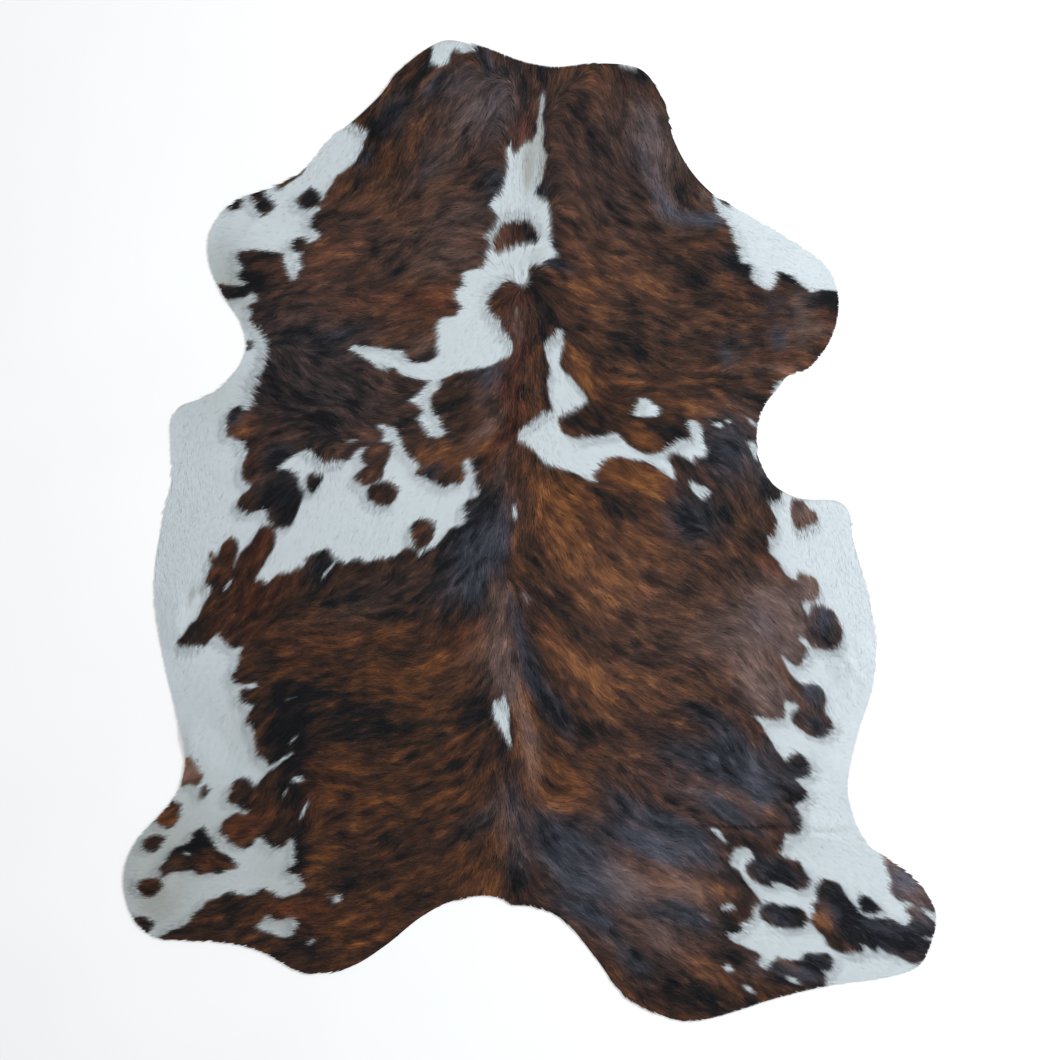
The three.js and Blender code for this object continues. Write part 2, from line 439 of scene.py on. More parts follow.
# %% White patches
WHITE = {
    "neck left": [
        (-215, 1105), (-216, 1088), (-221, 1058), (-224, 1042), (-210, 1040), (-202, 1034), (-193, 1041),
        (-184, 1039), (-179, 1050), (-179, 1066), (-174, 1073), (-160, 1072), (-148, 1063), (-140, 1070),
        (-119, 1076), (-119, 1095), (-170, 1112),
    ],
    "neck right": [
        (196, 1056), (198, 1039), (204, 1033), (224, 1032), (231, 1024), (238, 1028), (240, 1036),
        (240, 1050),
    ],
    "blaze": [
        (30, 986), (35, 966), (34, 950), (27, 926), (32, 894), (27, 864), (32, 850), (40, 834), (34, 828),
        (32, 814), (28, 798), (27, 782), (20, 772), (10, 764), (12, 754), (20, 744), (34, 742), (42, 730),
        (45, 710), (47, 658), (48, 638), (58, 624), (68, 613), (52, 608), (36, 605), (28, 598), (40, 590),
        (62, 579), (32, 591), (12, 596), (-5, 590), (0, 570), (-2, 555), (-14, 539), (-20, 546), (-36, 559),
        (-55, 559), (-68, 550), (-75, 539), (-91, 527), (-150, 552), (-154, 575), (-136, 582), (-112, 586),
        (-102, 594), (-100, 610), (-96, 626), (-90, 638), (-96, 650), (-108, 657), (-98, 662), (-86, 674),
        (-76, 690), (-70, 702), (-80, 710), (-84, 720), (-93, 722), (-86, 734), (-80, 746), (-66, 758),
        (-60, 774), (-56, 790), (-51, 802), (-54, 834), (-55, 851), (-46, 862), (-38, 873), (-43, 854),
        (-38, 845), (-30, 843), (-23, 854), (-16, 862), (-8, 870), (-2, 873), (2, 864), (7, 870), (11, 882),
        (17, 894), (15, 910), (18, 926), (23, 942), (22, 956), (25, 970),
    ],
    "left shoulder": [
        (-91, 527), (-94, 514), (-96, 498), (-84, 478), (-66, 464), (-64, 444), (-48, 434), (-40, 418),
        (-38, 402), (-44, 386), (-60, 382), (-70, 378), (-84, 368), (-102, 362), (-144, 356), (-166, 352),
        (-184, 342), (-198, 338), (-206, 326), (-204, 314), (-220, 304), (-227, 286), (-222, 274),
        (-221, 262), (-210, 254), (-200, 246), (-201, 234), (-193, 222), (-192, 214), (-198, 206),
        (-226, 208), (-234, 220), (-246, 234), (-244, 243), (-262, 247), (-248, 254), (-240, 260),
        (-238, 268), (-248, 274), (-260, 284), (-276, 288), (-260, 296), (-248, 308), (-234, 320),
        (-226, 331), (-234, 334), (-268, 342), (-284, 344), (-296, 354), (-302, 364), (-312, 366),
        (-328, 358), (-347, 360), (-350, 370), (-360, 378), (-400, 402), (-406, 413), (-388, 412),
        (-332, 405), (-300, 402), (-283, 401), (-280, 386), (-268, 375), (-240, 373), (-218, 380),
        (-206, 392), (-212, 414), (-208, 434), (-212, 456), (-204, 473), (-188, 476), (-172, 476),
        (-162, 486), (-154, 500), (-166, 514), (-170, 534), (-150, 546), (-150, 556),
    ],
    "right saddle": [
        (60, 448), (80, 445), (70, 432), (79, 426), (74, 410), (66, 370), (74, 356), (92, 342), (104, 326),
        (120, 306), (130, 290), (118, 276), (100, 266), (84, 258), (66, 252), (62, 242), (70, 226),
        (76, 214), (96, 205), (112, 201), (124, 205), (152, 207), (196, 216), (208, 206), (214, 196),
        (228, 184), (248, 174), (260, 168), (300, 173), (320, 188), (328, 198), (340, 203), (356, 202),
        (362, 210), (358, 226), (352, 240), (360, 246), (376, 242), (385, 230), (386, 214), (388, 198),
        (396, 186), (396, 174), (392, 162), (382, 160), (366, 166), (370, 146), (350, 158), (336, 168),
        (324, 172), (312, 166), (310, 154), (320, 142), (326, 130), (324, 120), (330, 106), (316, 116),
        (300, 127), (280, 142), (256, 154), (228, 156), (200, 164), (180, 162), (160, 152), (158, 138),
        (144, 126), (140, 118), (154, 106), (140, 106), (120, 116), (100, 128), (52, 140), (36, 146),
        (26, 156), (8, 178), (-4, 188), (-16, 192), (-28, 200), (-28, 212), (-16, 228), (0, 236), (20, 252),
        (32, 262), (52, 266), (54, 274), (44, 284), (42, 302), (38, 326), (40, 342), (50, 352), (46, 362),
        (38, 378), (32, 412), (42, 426), (56, 430),
    ],
    "saddle island": [
        (242, 292), (258, 296), (272, 286), (292, 274), (290, 256), (262, 252), (230, 254), (240, 272),
    ],
    "shoulder fleck 1": [(408, 238), (420, 241), (436, 236), (424, 226)],
    "shoulder fleck 2": [(432, 246), (446, 247), (456, 240), (444, 238)],
    "shoulder fleck 3": [(486, 252), (498, 246), (508, 234), (507, 227), (498, 234), (490, 244)],
    "waist streak": [(490, 198), (500, 196), (508, 190), (513, 172), (508, 150), (500, 164), (492, 182)],
    "saddle tail": [
        (354, 108), (366, 106), (376, 100), (386, 98), (400, 92), (410, 82), (396, 78), (384, 64), (378, 74),
        (364, 84), (362, 94),
    ],
    "waist edge": [(542, 304), (548, 318), (556, 330), (574, 340), (592, 338), (575, 316), (552, 300)],
    "right foreleg": [
        (414, 752), (411, 734), (412, 724), (422, 716), (425, 702), (438, 694), (444, 680), (454, 678),
        (452, 666), (460, 654), (456, 644), (468, 634), (466, 624), (460, 622), (472, 614), (472, 598),
        (484, 594), (496, 596), (500, 586), (496, 562), (504, 552), (514, 545), (528, 537), (540, 537),
        (548, 548), (556, 564), (551, 575), (562, 578), (574, 571), (590, 567), (602, 552), (624, 535),
        (632, 530), (640, 536), (652, 539), (664, 535), (676, 537), (690, 531), (705, 545), (690, 610),
        (640, 650), (560, 700), (480, 745), (420, 775),
    ],
    "right belly": [
        (566, 92), (564, 78), (560, 68), (552, 60), (540, 58), (526, 70), (530, 62), (538, 50), (546, 34),
        (556, 18), (552, 10), (550, -8), (546, -16), (540, -20), (530, -15), (536, -28), (538, -40),
        (534, -50), (552, -66), (562, -80), (570, -98), (588, -112), (600, -114), (602, -90), (612, -100),
        (634, -104), (644, -114), (648, -134), (644, -150), (632, -162), (606, -162), (614, -178),
        (622, -194), (628, -182), (632, -166), (652, -170), (664, -172), (680, -182), (688, -198),
        (702, -232), (698, -250), (688, -266), (676, -270), (660, -270), (632, -266), (620, -246),
        (602, -238), (606, -250), (620, -266), (624, -280), (614, -288), (610, -304), (596, -306),
        (588, -302), (576, -292), (558, -273), (568, -294), (578, -314), (588, -328), (600, -340),
        (614, -348), (632, -344), (648, -348), (658, -362), (664, -378), (658, -412), (670, -420),
        (680, -436), (678, -450), (664, -462), (644, -466), (624, -460), (608, -448), (594, -440),
        (584, -426), (588, -408), (606, -396), (596, -390), (580, -384), (566, -386), (572, -404),
        (568, -424), (556, -427), (536, -425), (510, -418), (494, -408), (504, -420), (516, -434),
        (528, -454), (552, -494), (574, -522), (576, -514), (588, -502), (600, -498), (616, -506),
        (626, -522), (630, -540), (624, -554), (592, -558), (745, -560), (745, -480), (790, -320),
        (785, -220), (760, -90), (735, 0), (720, 65), (620, 95), (580, 92),
    ],
    "right hind leg": [
        (592, -556), (604, -568), (625, -590), (622, -600), (612, -610), (590, -614), (600, -628),
        (610, -644), (610, -666), (604, -678), (596, -683), (574, -680), (570, -690), (569, -706),
        (558, -724), (568, -732), (592, -740), (608, -742), (612, -758), (620, -772), (629, -782),
        (628, -794), (616, -806), (596, -806), (576, -796), (560, -790), (546, -790), (544, -802),
        (530, -798), (512, -792), (496, -782), (484, -766), (482, -750), (502, -736), (498, -722),
        (488, -710), (460, -712), (456, -722), (450, -742), (450, -754), (468, -760), (476, -774),
        (488, -794), (504, -814), (520, -834), (504, -842), (498, -870), (484, -878), (470, -882),
        (480, -894), (468, -902), (446, -904), (446, -914), (460, -924), (476, -930), (492, -940),
        (508, -942), (516, -950), (516, -962), (510, -970), (520, -980), (532, -984), (536, -974),
        (542, -964), (556, -958), (606, -964), (610, -950), (620, -944), (642, -950), (660, -945),
        (674, -950), (680, -966), (680, -980), (668, -988), (656, -992), (666, -1000), (664, -1010),
        (660, -1035), (760, -1030), (850, -1010), (900, -960), (920, -860), (880, -770), (780, -700),
        (730, -620), (725, -556),
    ],
    "shank fleck 1": [(578, -998), (588, -1000), (600, -1006), (608, -1018), (596, -1016), (582, -1010)],
    "shank fleck 2": [(436, -972), (452, -974), (456, -982), (450, -992), (440, -990), (434, -982)],
    "shank fleck 3": [(478, -1016), (488, -1018), (500, -1028), (510, -1040), (488, -1034), (480, -1024)],
    "thigh fleck 1": [
        (398, -666), (416, -668), (428, -674), (434, -690), (450, -705), (430, -696), (416, -680),
    ],
    "thigh fleck 2": [(422, -848), (440, -840), (456, -838), (464, -844), (448, -852), (432, -852)],
    "left foreleg": [
        (-418, 915), (-392, 908), (-380, 894), (-362, 890), (-366, 876), (-374, 864), (-372, 850),
        (-384, 838), (-390, 822), (-404, 812), (-420, 798), (-436, 792), (-440, 778), (-446, 766),
        (-458, 756), (-460, 742), (-464, 734), (-470, 726), (-468, 716), (-484, 708), (-492, 694),
        (-494, 678), (-484, 668), (-470, 664), (-476, 650), (-492, 640), (-502, 638), (-510, 626),
        (-518, 602), (-508, 588), (-520, 578), (-524, 564), (-530, 554), (-560, 548), (-640, 547),
        (-664, 545), (-684, 549), (-730, 552), (-730, 670), (-690, 730), (-640, 765), (-560, 790),
        (-480, 850), (-430, 905),
    ],
    "left waist": [
        (-680, 514), (-668, 516), (-644, 518), (-632, 522), (-626, 536), (-616, 522), (-610, 510),
        (-624, 507), (-638, 500), (-628, 492), (-622, 484), (-630, 476), (-622, 460), (-612, 450),
        (-600, 434), (-590, 422), (-587, 406), (-589, 390), (-594, 374), (-598, 358), (-608, 346),
        (-612, 326), (-622, 314), (-618, 294), (-620, 282), (-632, 270), (-638, 264), (-644, 280),
        (-656, 278), (-672, 266), (-680, 252), (-680, 214), (-678, 204), (-830, 204), (-820, 290),
        (-740, 320), (-690, 350), (-650, 400), (-660, 460), (-700, 512),
    ],
    "left flank": [
        (-678, 206), (-664, 206), (-656, 198), (-644, 196), (-640, 182), (-632, 176), (-634, 164),
        (-640, 154), (-648, 134), (-644, 116), (-636, 104), (-622, 96), (-628, 90), (-644, 80), (-654, 66),
        (-658, 48), (-644, 38), (-624, 36), (-600, 44), (-590, 42), (-590, 26), (-584, 12), (-572, 2),
        (-556, 1), (-536, 6), (-526, 26), (-516, 50), (-508, 74), (-506, 82), (-518, 98), (-516, 114),
        (-528, 126), (-548, 138), (-568, 128), (-560, 144), (-548, 154), (-532, 166), (-512, 176),
        (-500, 178), (-486, 172), (-480, 160), (-466, 156), (-460, 148), (-450, 150), (-440, 158),
        (-416, 150), (-400, 158), (-394, 172), (-384, 182), (-366, 188), (-374, 174), (-382, 164),
        (-374, 150), (-368, 144), (-384, 130), (-396, 118), (-392, 106), (-376, 98), (-360, 98), (-350, 106),
        (-330, 114), (-328, 134), (-320, 150), (-306, 190), (-318, 196), (-344, 198), (-328, 204),
        (-324, 212), (-332, 224), (-346, 234), (-332, 238), (-320, 230), (-302, 230), (-298, 212),
        (-288, 196), (-284, 178), (-272, 164), (-254, 150), (-248, 142), (-260, 122), (-240, 118),
        (-224, 106), (-204, 98), (-192, 92), (-180, 102), (-160, 98), (-148, 106), (-146, 126), (-150, 146),
        (-148, 162), (-136, 156), (-124, 118), (-122, 94), (-112, 78), (-128, 70), (-146, 64), (-150, 54),
        (-146, 34), (-150, 10), (-168, 6), (-180, 4), (-188, -8), (-200, -24), (-212, -38), (-236, -48),
        (-250, -64), (-252, -50), (-260, -42), (-276, -40), (-288, -46), (-300, -58), (-320, -62),
        (-348, -66), (-368, -74), (-382, -66), (-400, -66), (-412, -78), (-428, -66), (-442, -64),
        (-448, -46), (-460, -40), (-472, -50), (-486, -54), (-508, -64), (-500, -70), (-504, -84),
        (-520, -86), (-530, -94), (-552, -98), (-566, -98), (-576, -110), (-594, -126), (-596, -108),
        (-618, -114), (-608, -96), (-596, -82), (-588, -62), (-574, -46), (-570, -22), (-568, -10),
        (-580, 6), (-592, 10), (-608, 2), (-616, -14), (-624, -30), (-640, -42), (-650, -52), (-660, -84),
        (-672, -98), (-664, -86), (-652, -42), (-654, -28), (-666, -14), (-680, -22), (-692, -38),
        (-698, -58), (-720, -94), (-728, -118), (-712, -134), (-720, -150), (-732, -170), (-746, -202),
        (-760, -210), (-772, -230), (-792, -252), (-860, -252), (-860, -100), (-845, 20), (-820, 140),
        (-830, 206),
    ],
    "left thigh": [
        (-792, -252), (-780, -262), (-760, -262), (-744, -259), (-724, -260), (-720, -250), (-702, -234),
        (-696, -242), (-680, -256), (-664, -266), (-644, -262), (-652, -278), (-654, -298), (-664, -318),
        (-672, -330), (-662, -344), (-652, -348), (-632, -346), (-618, -340), (-614, -352), (-624, -356),
        (-644, -352), (-650, -362), (-652, -374), (-648, -390), (-620, -392), (-624, -402), (-634, -418),
        (-638, -434), (-624, -442), (-618, -454), (-618, -470), (-614, -490), (-612, -510), (-596, -516),
        (-584, -528), (-572, -528), (-556, -510), (-540, -502), (-524, -486), (-538, -508), (-556, -518),
        (-570, -534), (-582, -536), (-604, -562), (-614, -578), (-622, -568), (-632, -556), (-648, -554),
        (-664, -562), (-672, -578), (-680, -610), (-660, -616), (-644, -626), (-628, -634), (-638, -638),
        (-656, -630), (-664, -636), (-680, -646), (-690, -654), (-696, -674), (-860, -674), (-860, -640),
        (-800, -580), (-790, -500), (-800, -400), (-860, -252),
    ],
    "left hind leg": [
        (-696, -672), (-692, -684), (-680, -688), (-674, -698), (-664, -708), (-640, -715), (-624, -710),
        (-616, -698), (-614, -688), (-602, -688), (-594, -700), (-580, -706), (-574, -714), (-560, -712),
        (-544, -704), (-546, -690), (-530, -700), (-528, -734), (-526, -746), (-546, -758), (-542, -768),
        (-524, -772), (-512, -788), (-502, -796), (-520, -812), (-548, -822), (-568, -822), (-572, -810),
        (-592, -806), (-602, -798), (-612, -810), (-628, -818), (-644, -818), (-676, -808), (-692, -818),
        (-702, -826), (-720, -826), (-728, -834), (-736, -848), (-752, -856), (-760, -870), (-772, -882),
        (-784, -890), (-804, -894), (-824, -908), (-860, -925), (-930, -840), (-925, -740), (-870, -640),
        (-860, -672),
    ],
    "shank island": [
        (-618, -886), (-604, -878), (-596, -870), (-594, -858), (-582, -868), (-564, -874), (-548, -870),
        (-544, -860), (-536, -872), (-516, -876), (-526, -890), (-534, -906), (-552, -912), (-572, -906),
        (-600, -896),
    ],
    "thigh streak 1": [(-536, -554), (-520, -552), (-506, -560), (-516, -566), (-530, -564)],
    "thigh streak 2": [(-499, -608), (-493, -610), (-512, -648), (-518, -646)],
    "thigh streak 3": [(-510, -452), (-514, -458), (-536, -478), (-538, -472)],
    "thigh streak 4": [(-555, -594), (-549, -596), (-540, -582), (-544, -580)],
    "thigh streak 5": [(-499, -930), (-493, -932), (-483, -914), (-488, -912)],
    "flank streak 1": [(-687, -134), (-681, -137), (-665, -112), (-670, -110)],
    "flank streak 2": [(-436, -68), (-434, -74), (-464, -110), (-468, -106)],
    "flank fleck 1": [(-549, -376), (-540, -375), (-535, -379), (-545, -381)],
    "shoulder fleck 4": [(-414, 192), (-400, 204), (-392, 202), (-404, 194)],
    "spine fleck": [(-40, 58), (-32, 52), (-32, 42), (-26, 26), (-36, 22), (-41, 42)],
    "spine tuft": [
        (-84, -384), (-74, -382), (-67, -392), (-64, -374), (-58, -368), (-53, -384), (-46, -402),
        (-46, -422), (-47, -442), (-44, -462), (-39, -486), (-44, -490), (-54, -470), (-64, -450),
        (-76, -430), (-84, -410),
    ],
}

# %% [markdown]
# Dark spots lie on the white, and a few thin white marks lie on the dark: a streak
# beside a border, or the whorl's rays that cross the crescent over it. All of them are
# filled in that order on one chart, from 0 for dark to 1 for white. It is then blurred
# a little, as the border between two colours of hair is never sharp.

# %% Dark spots and white marks
WHITE_MARKS = {
    "spine line": [(-31, 500), (-28, 500), (-29, 480), (-31, 480)],
    "left flank flecks": [(-462, -808), (-452, -816), (-446, -828), (-454, -822)],
    "left flank fleck": [(-440, -818), (-430, -814), (-424, -826), (-436, -838)],
    "right rump streak": [(380, -854), (384, -858), (402, -875), (397, -876)],
    "right belly streak": [(563, -328), (567, -331), (579, -344), (575, -341)],
    "hind spot islet": [(-775, -722), (-769, -717), (-763, -723), (-768, -731)],
    "fan ray 1": [(-57, 621), (-60, 650), (-50, 623)],
    "fan ray 2": [(-43, 626), (-46, 645), (-36, 629)],
    "fan ray 3": [(-33, 630), (-32, 658), (-26, 633)],
    "fan ray 4": [(-19, 635), (-13, 654), (-11, 638)],
}
DARK = {
    "forehead crescent": [
        (-24, 694), (-4, 691), (10, 678), (20, 658), (23, 646), (12, 641), (0, 645), (-12, 639), (-24, 636),
        (-40, 630), (-54, 624), (-72, 622), (-83, 628), (-84, 640), (-80, 658), (-68, 674), (-60, 686),
        (-40, 690),
    ],
    "fan strand 1": [(-60, 600), (-66, 618), (-63, 600)],
    "fan strand 2": [(-40, 580), (-48, 608), (-36, 582)],
    "fan strand 3": [(-20, 575), (-22, 612), (-16, 577)],
    "right foreleg streak": [(422, 750), (440, 742), (452, 730), (446, 722), (438, 726), (428, 732)],
    "left foreleg tongue": [
        (-658, 612), (-648, 624), (-636, 620), (-620, 626), (-604, 622), (-568, 620), (-548, 614),
        (-554, 604), (-548, 594), (-548, 586), (-542, 570), (-530, 552), (-540, 530), (-640, 540),
        (-632, 552), (-644, 558), (-656, 568), (-652, 578), (-640, 586), (-648, 594),
    ],
    "left foreleg spot 1": [
        (-525, 738), (-504, 754), (-500, 762), (-488, 764), (-476, 754), (-470, 742), (-468, 730),
        (-476, 724), (-488, 722), (-500, 716), (-516, 720),
    ],
    "left foreleg spot 2": [
        (-512, 654), (-528, 650), (-536, 630), (-526, 620), (-508, 624), (-498, 636), (-504, 650),
    ],
    "left foreleg edge": [
        (-500, 818), (-506, 804), (-512, 794), (-524, 787), (-538, 778), (-550, 770), (-558, 760),
        (-566, 762), (-569, 770), (-560, 790),
    ],
    "left foreleg spot 3": [
        (-626, 760), (-626, 742), (-616, 726), (-608, 710), (-600, 701), (-590, 704), (-586, 714),
        (-576, 716), (-572, 728), (-584, 736), (-594, 748), (-600, 765),
    ],
    "left foreleg spot 4": [(-680, 722), (-662, 713), (-652, 718), (-645, 732), (-652, 742), (-666, 740)],
    "waist nub": [(-634, 430), (-624, 418), (-622, 406), (-634, 400)],
    "flank spot 1": [
        (-500, 120), (-488, 126), (-480, 120), (-462, 120), (-468, 106), (-478, 90), (-490, 82), (-498, 90),
        (-501, 106),
    ],
    "flank spot 2": [
        (-366, 84), (-360, 94), (-340, 104), (-320, 107), (-304, 98), (-296, 86), (-304, 66), (-318, 51),
        (-348, 58), (-360, 66),
    ],
    "flank spot 3": [
        (-260, 14), (-244, 26), (-224, 18), (-214, 4), (-216, -10), (-224, -26), (-236, -40), (-250, -46),
        (-260, -34), (-266, -14), (-268, 2),
    ],
    "belly spot": [(-720, -58), (-712, -50), (-706, -64), (-708, -76), (-716, -76)],
    "thigh spot 1": [
        (-795, -565), (-785, -512), (-772, -512), (-760, -510), (-750, -524), (-746, -540), (-733, -545),
        (-738, -562), (-748, -574), (-762, -566), (-780, -573),
    ],
    "thigh spot 2": [(-738, -578), (-724, -570), (-720, -586), (-730, -602), (-738, -600)],
    "thigh spot 3": [
        (-792, -614), (-778, -616), (-788, -632), (-786, -646), (-800, -664), (-814, -668), (-832, -658),
        (-845, -650), (-800, -605),
    ],
    "hind spot 1": [
        (-850, -686), (-840, -682), (-814, -690), (-828, -700), (-830, -710), (-846, -724), (-868, -714),
        (-868, -698),
    ],
    "hind spot 2": [
        (-756, -686), (-752, -674), (-732, -668), (-716, -688), (-708, -702), (-702, -720), (-684, -724),
        (-672, -732), (-658, -750), (-664, -758), (-680, -760), (-698, -770), (-720, -764), (-732, -768),
        (-746, -772), (-752, -758), (-772, -762), (-800, -764), (-822, -778), (-830, -754), (-814, -742),
        (-808, -726), (-796, -712), (-770, -704), (-760, -698),
    ],
    "hind spot 3": [
        (-880, -794), (-868, -784), (-854, -780), (-830, -780), (-822, -794), (-828, -806), (-844, -818),
        (-862, -824), (-870, -810),
    ],
    "hind edge spot": [(-890, -866), (-860, -866), (-854, -878), (-840, -874), (-848, -890), (-860, -905)],
    "belly heart": [
        (586, 58), (594, 68), (608, 68), (616, 58), (620, 46), (630, 40), (638, 38), (643, 26), (638, 14),
        (624, 8), (612, 4), (604, -4), (598, 2), (590, 18), (584, 38),
    ],
    "shank spot 1": [
        (514, -854), (520, -844), (536, -835), (552, -836), (562, -846), (572, -842), (592, -845),
        (608, -848), (618, -860), (622, -874), (616, -886), (596, -892), (576, -892), (556, -886),
        (536, -880), (520, -870),
    ],
    "shank band": [
        (642, -804), (648, -792), (658, -780), (674, -786), (696, -794), (704, -810), (712, -826),
        (724, -838), (736, -854), (752, -870), (796, -868), (816, -872), (828, -882), (840, -894),
        (856, -904), (880, -916), (920, -922), (895, -965), (872, -966), (856, -972), (840, -962),
        (820, -952), (800, -948), (782, -932), (778, -944), (760, -936), (748, -926), (744, -948),
        (732, -944), (716, -948), (700, -946), (680, -938), (668, -926), (662, -910), (648, -898),
        (632, -882), (630, -870), (642, -858), (634, -836), (646, -832), (642, -818),
    ],
    "shank spot 2": [
        (740, -818), (756, -820), (766, -830), (780, -842), (790, -848), (776, -856), (752, -858),
        (740, -846), (736, -830),
    ],
    "shank tip": [
        (786, -715), (796, -738), (800, -762), (812, -786), (808, -798), (812, -814), (828, -830),
        (848, -830), (872, -846), (910, -858), (930, -850), (880, -770), (830, -725),
    ],
    "shank tip edge": [
        (840, -846), (856, -844), (880, -856), (898, -874), (915, -890), (915, -912), (880, -910),
        (856, -902), (838, -886), (852, -874), (860, -866), (844, -858),
    ],
}

print("patches:", len(WHITE), "white,", len(DARK), "dark,", len(WHITE_MARKS), "white marks")

# %% The patches on their chart
SPOT_SPREAD = 2 * MM  # white tips cover a dark spot's rim, so it starts that much larger
BORDER_BLUR = 2 * MM
NEAR_BLUR = 9 * MM  # how far white or dark hair is felt around it
FILLS = [
    # patches, how white they are, how far they are spread
    (WHITE, 1.0, 0.0),
    (DARK, 0.0, SPOT_SPREAD),
    (WHITE_MARKS, 1.0, 0.0),
]
white_chart = np.zeros((ROWS, COLUMNS))
for patches, whiteness, spread in FILLS:
    for corners in patches.values():
        corners = np.array(corners) * MM
        outwards = corners - corners.mean(0)
        outwards /= np.linalg.norm(outwards, axis=1)[:, None]
        fill_patch(white_chart, corners + spread * outwards, whiteness)
on_hide = look_up(edge_distance, *chart_axes(CELL), WIDE_CELL) > 0
white_share = white_chart[on_hide].mean()
near_white = soften(white_chart, NEAR_BLUR)
white_chart = soften(white_chart, BORDER_BLUR)
print("white share of the hide:", round(float(white_share), 3))

# %% [markdown]
# ## The comb
# Cattle hair grows from a whorl on the forehead, down both sides of the spine and
# out towards the legs. That flow is what makes a hide look like a hide, since it turns
# the brindle's streaks and the ragged borders of the patches. A table says which way
# the hair lies at each of some two hundred places, in degrees from +X towards the
# hair's tip. Between them the directions are averaged, nearest ones most.

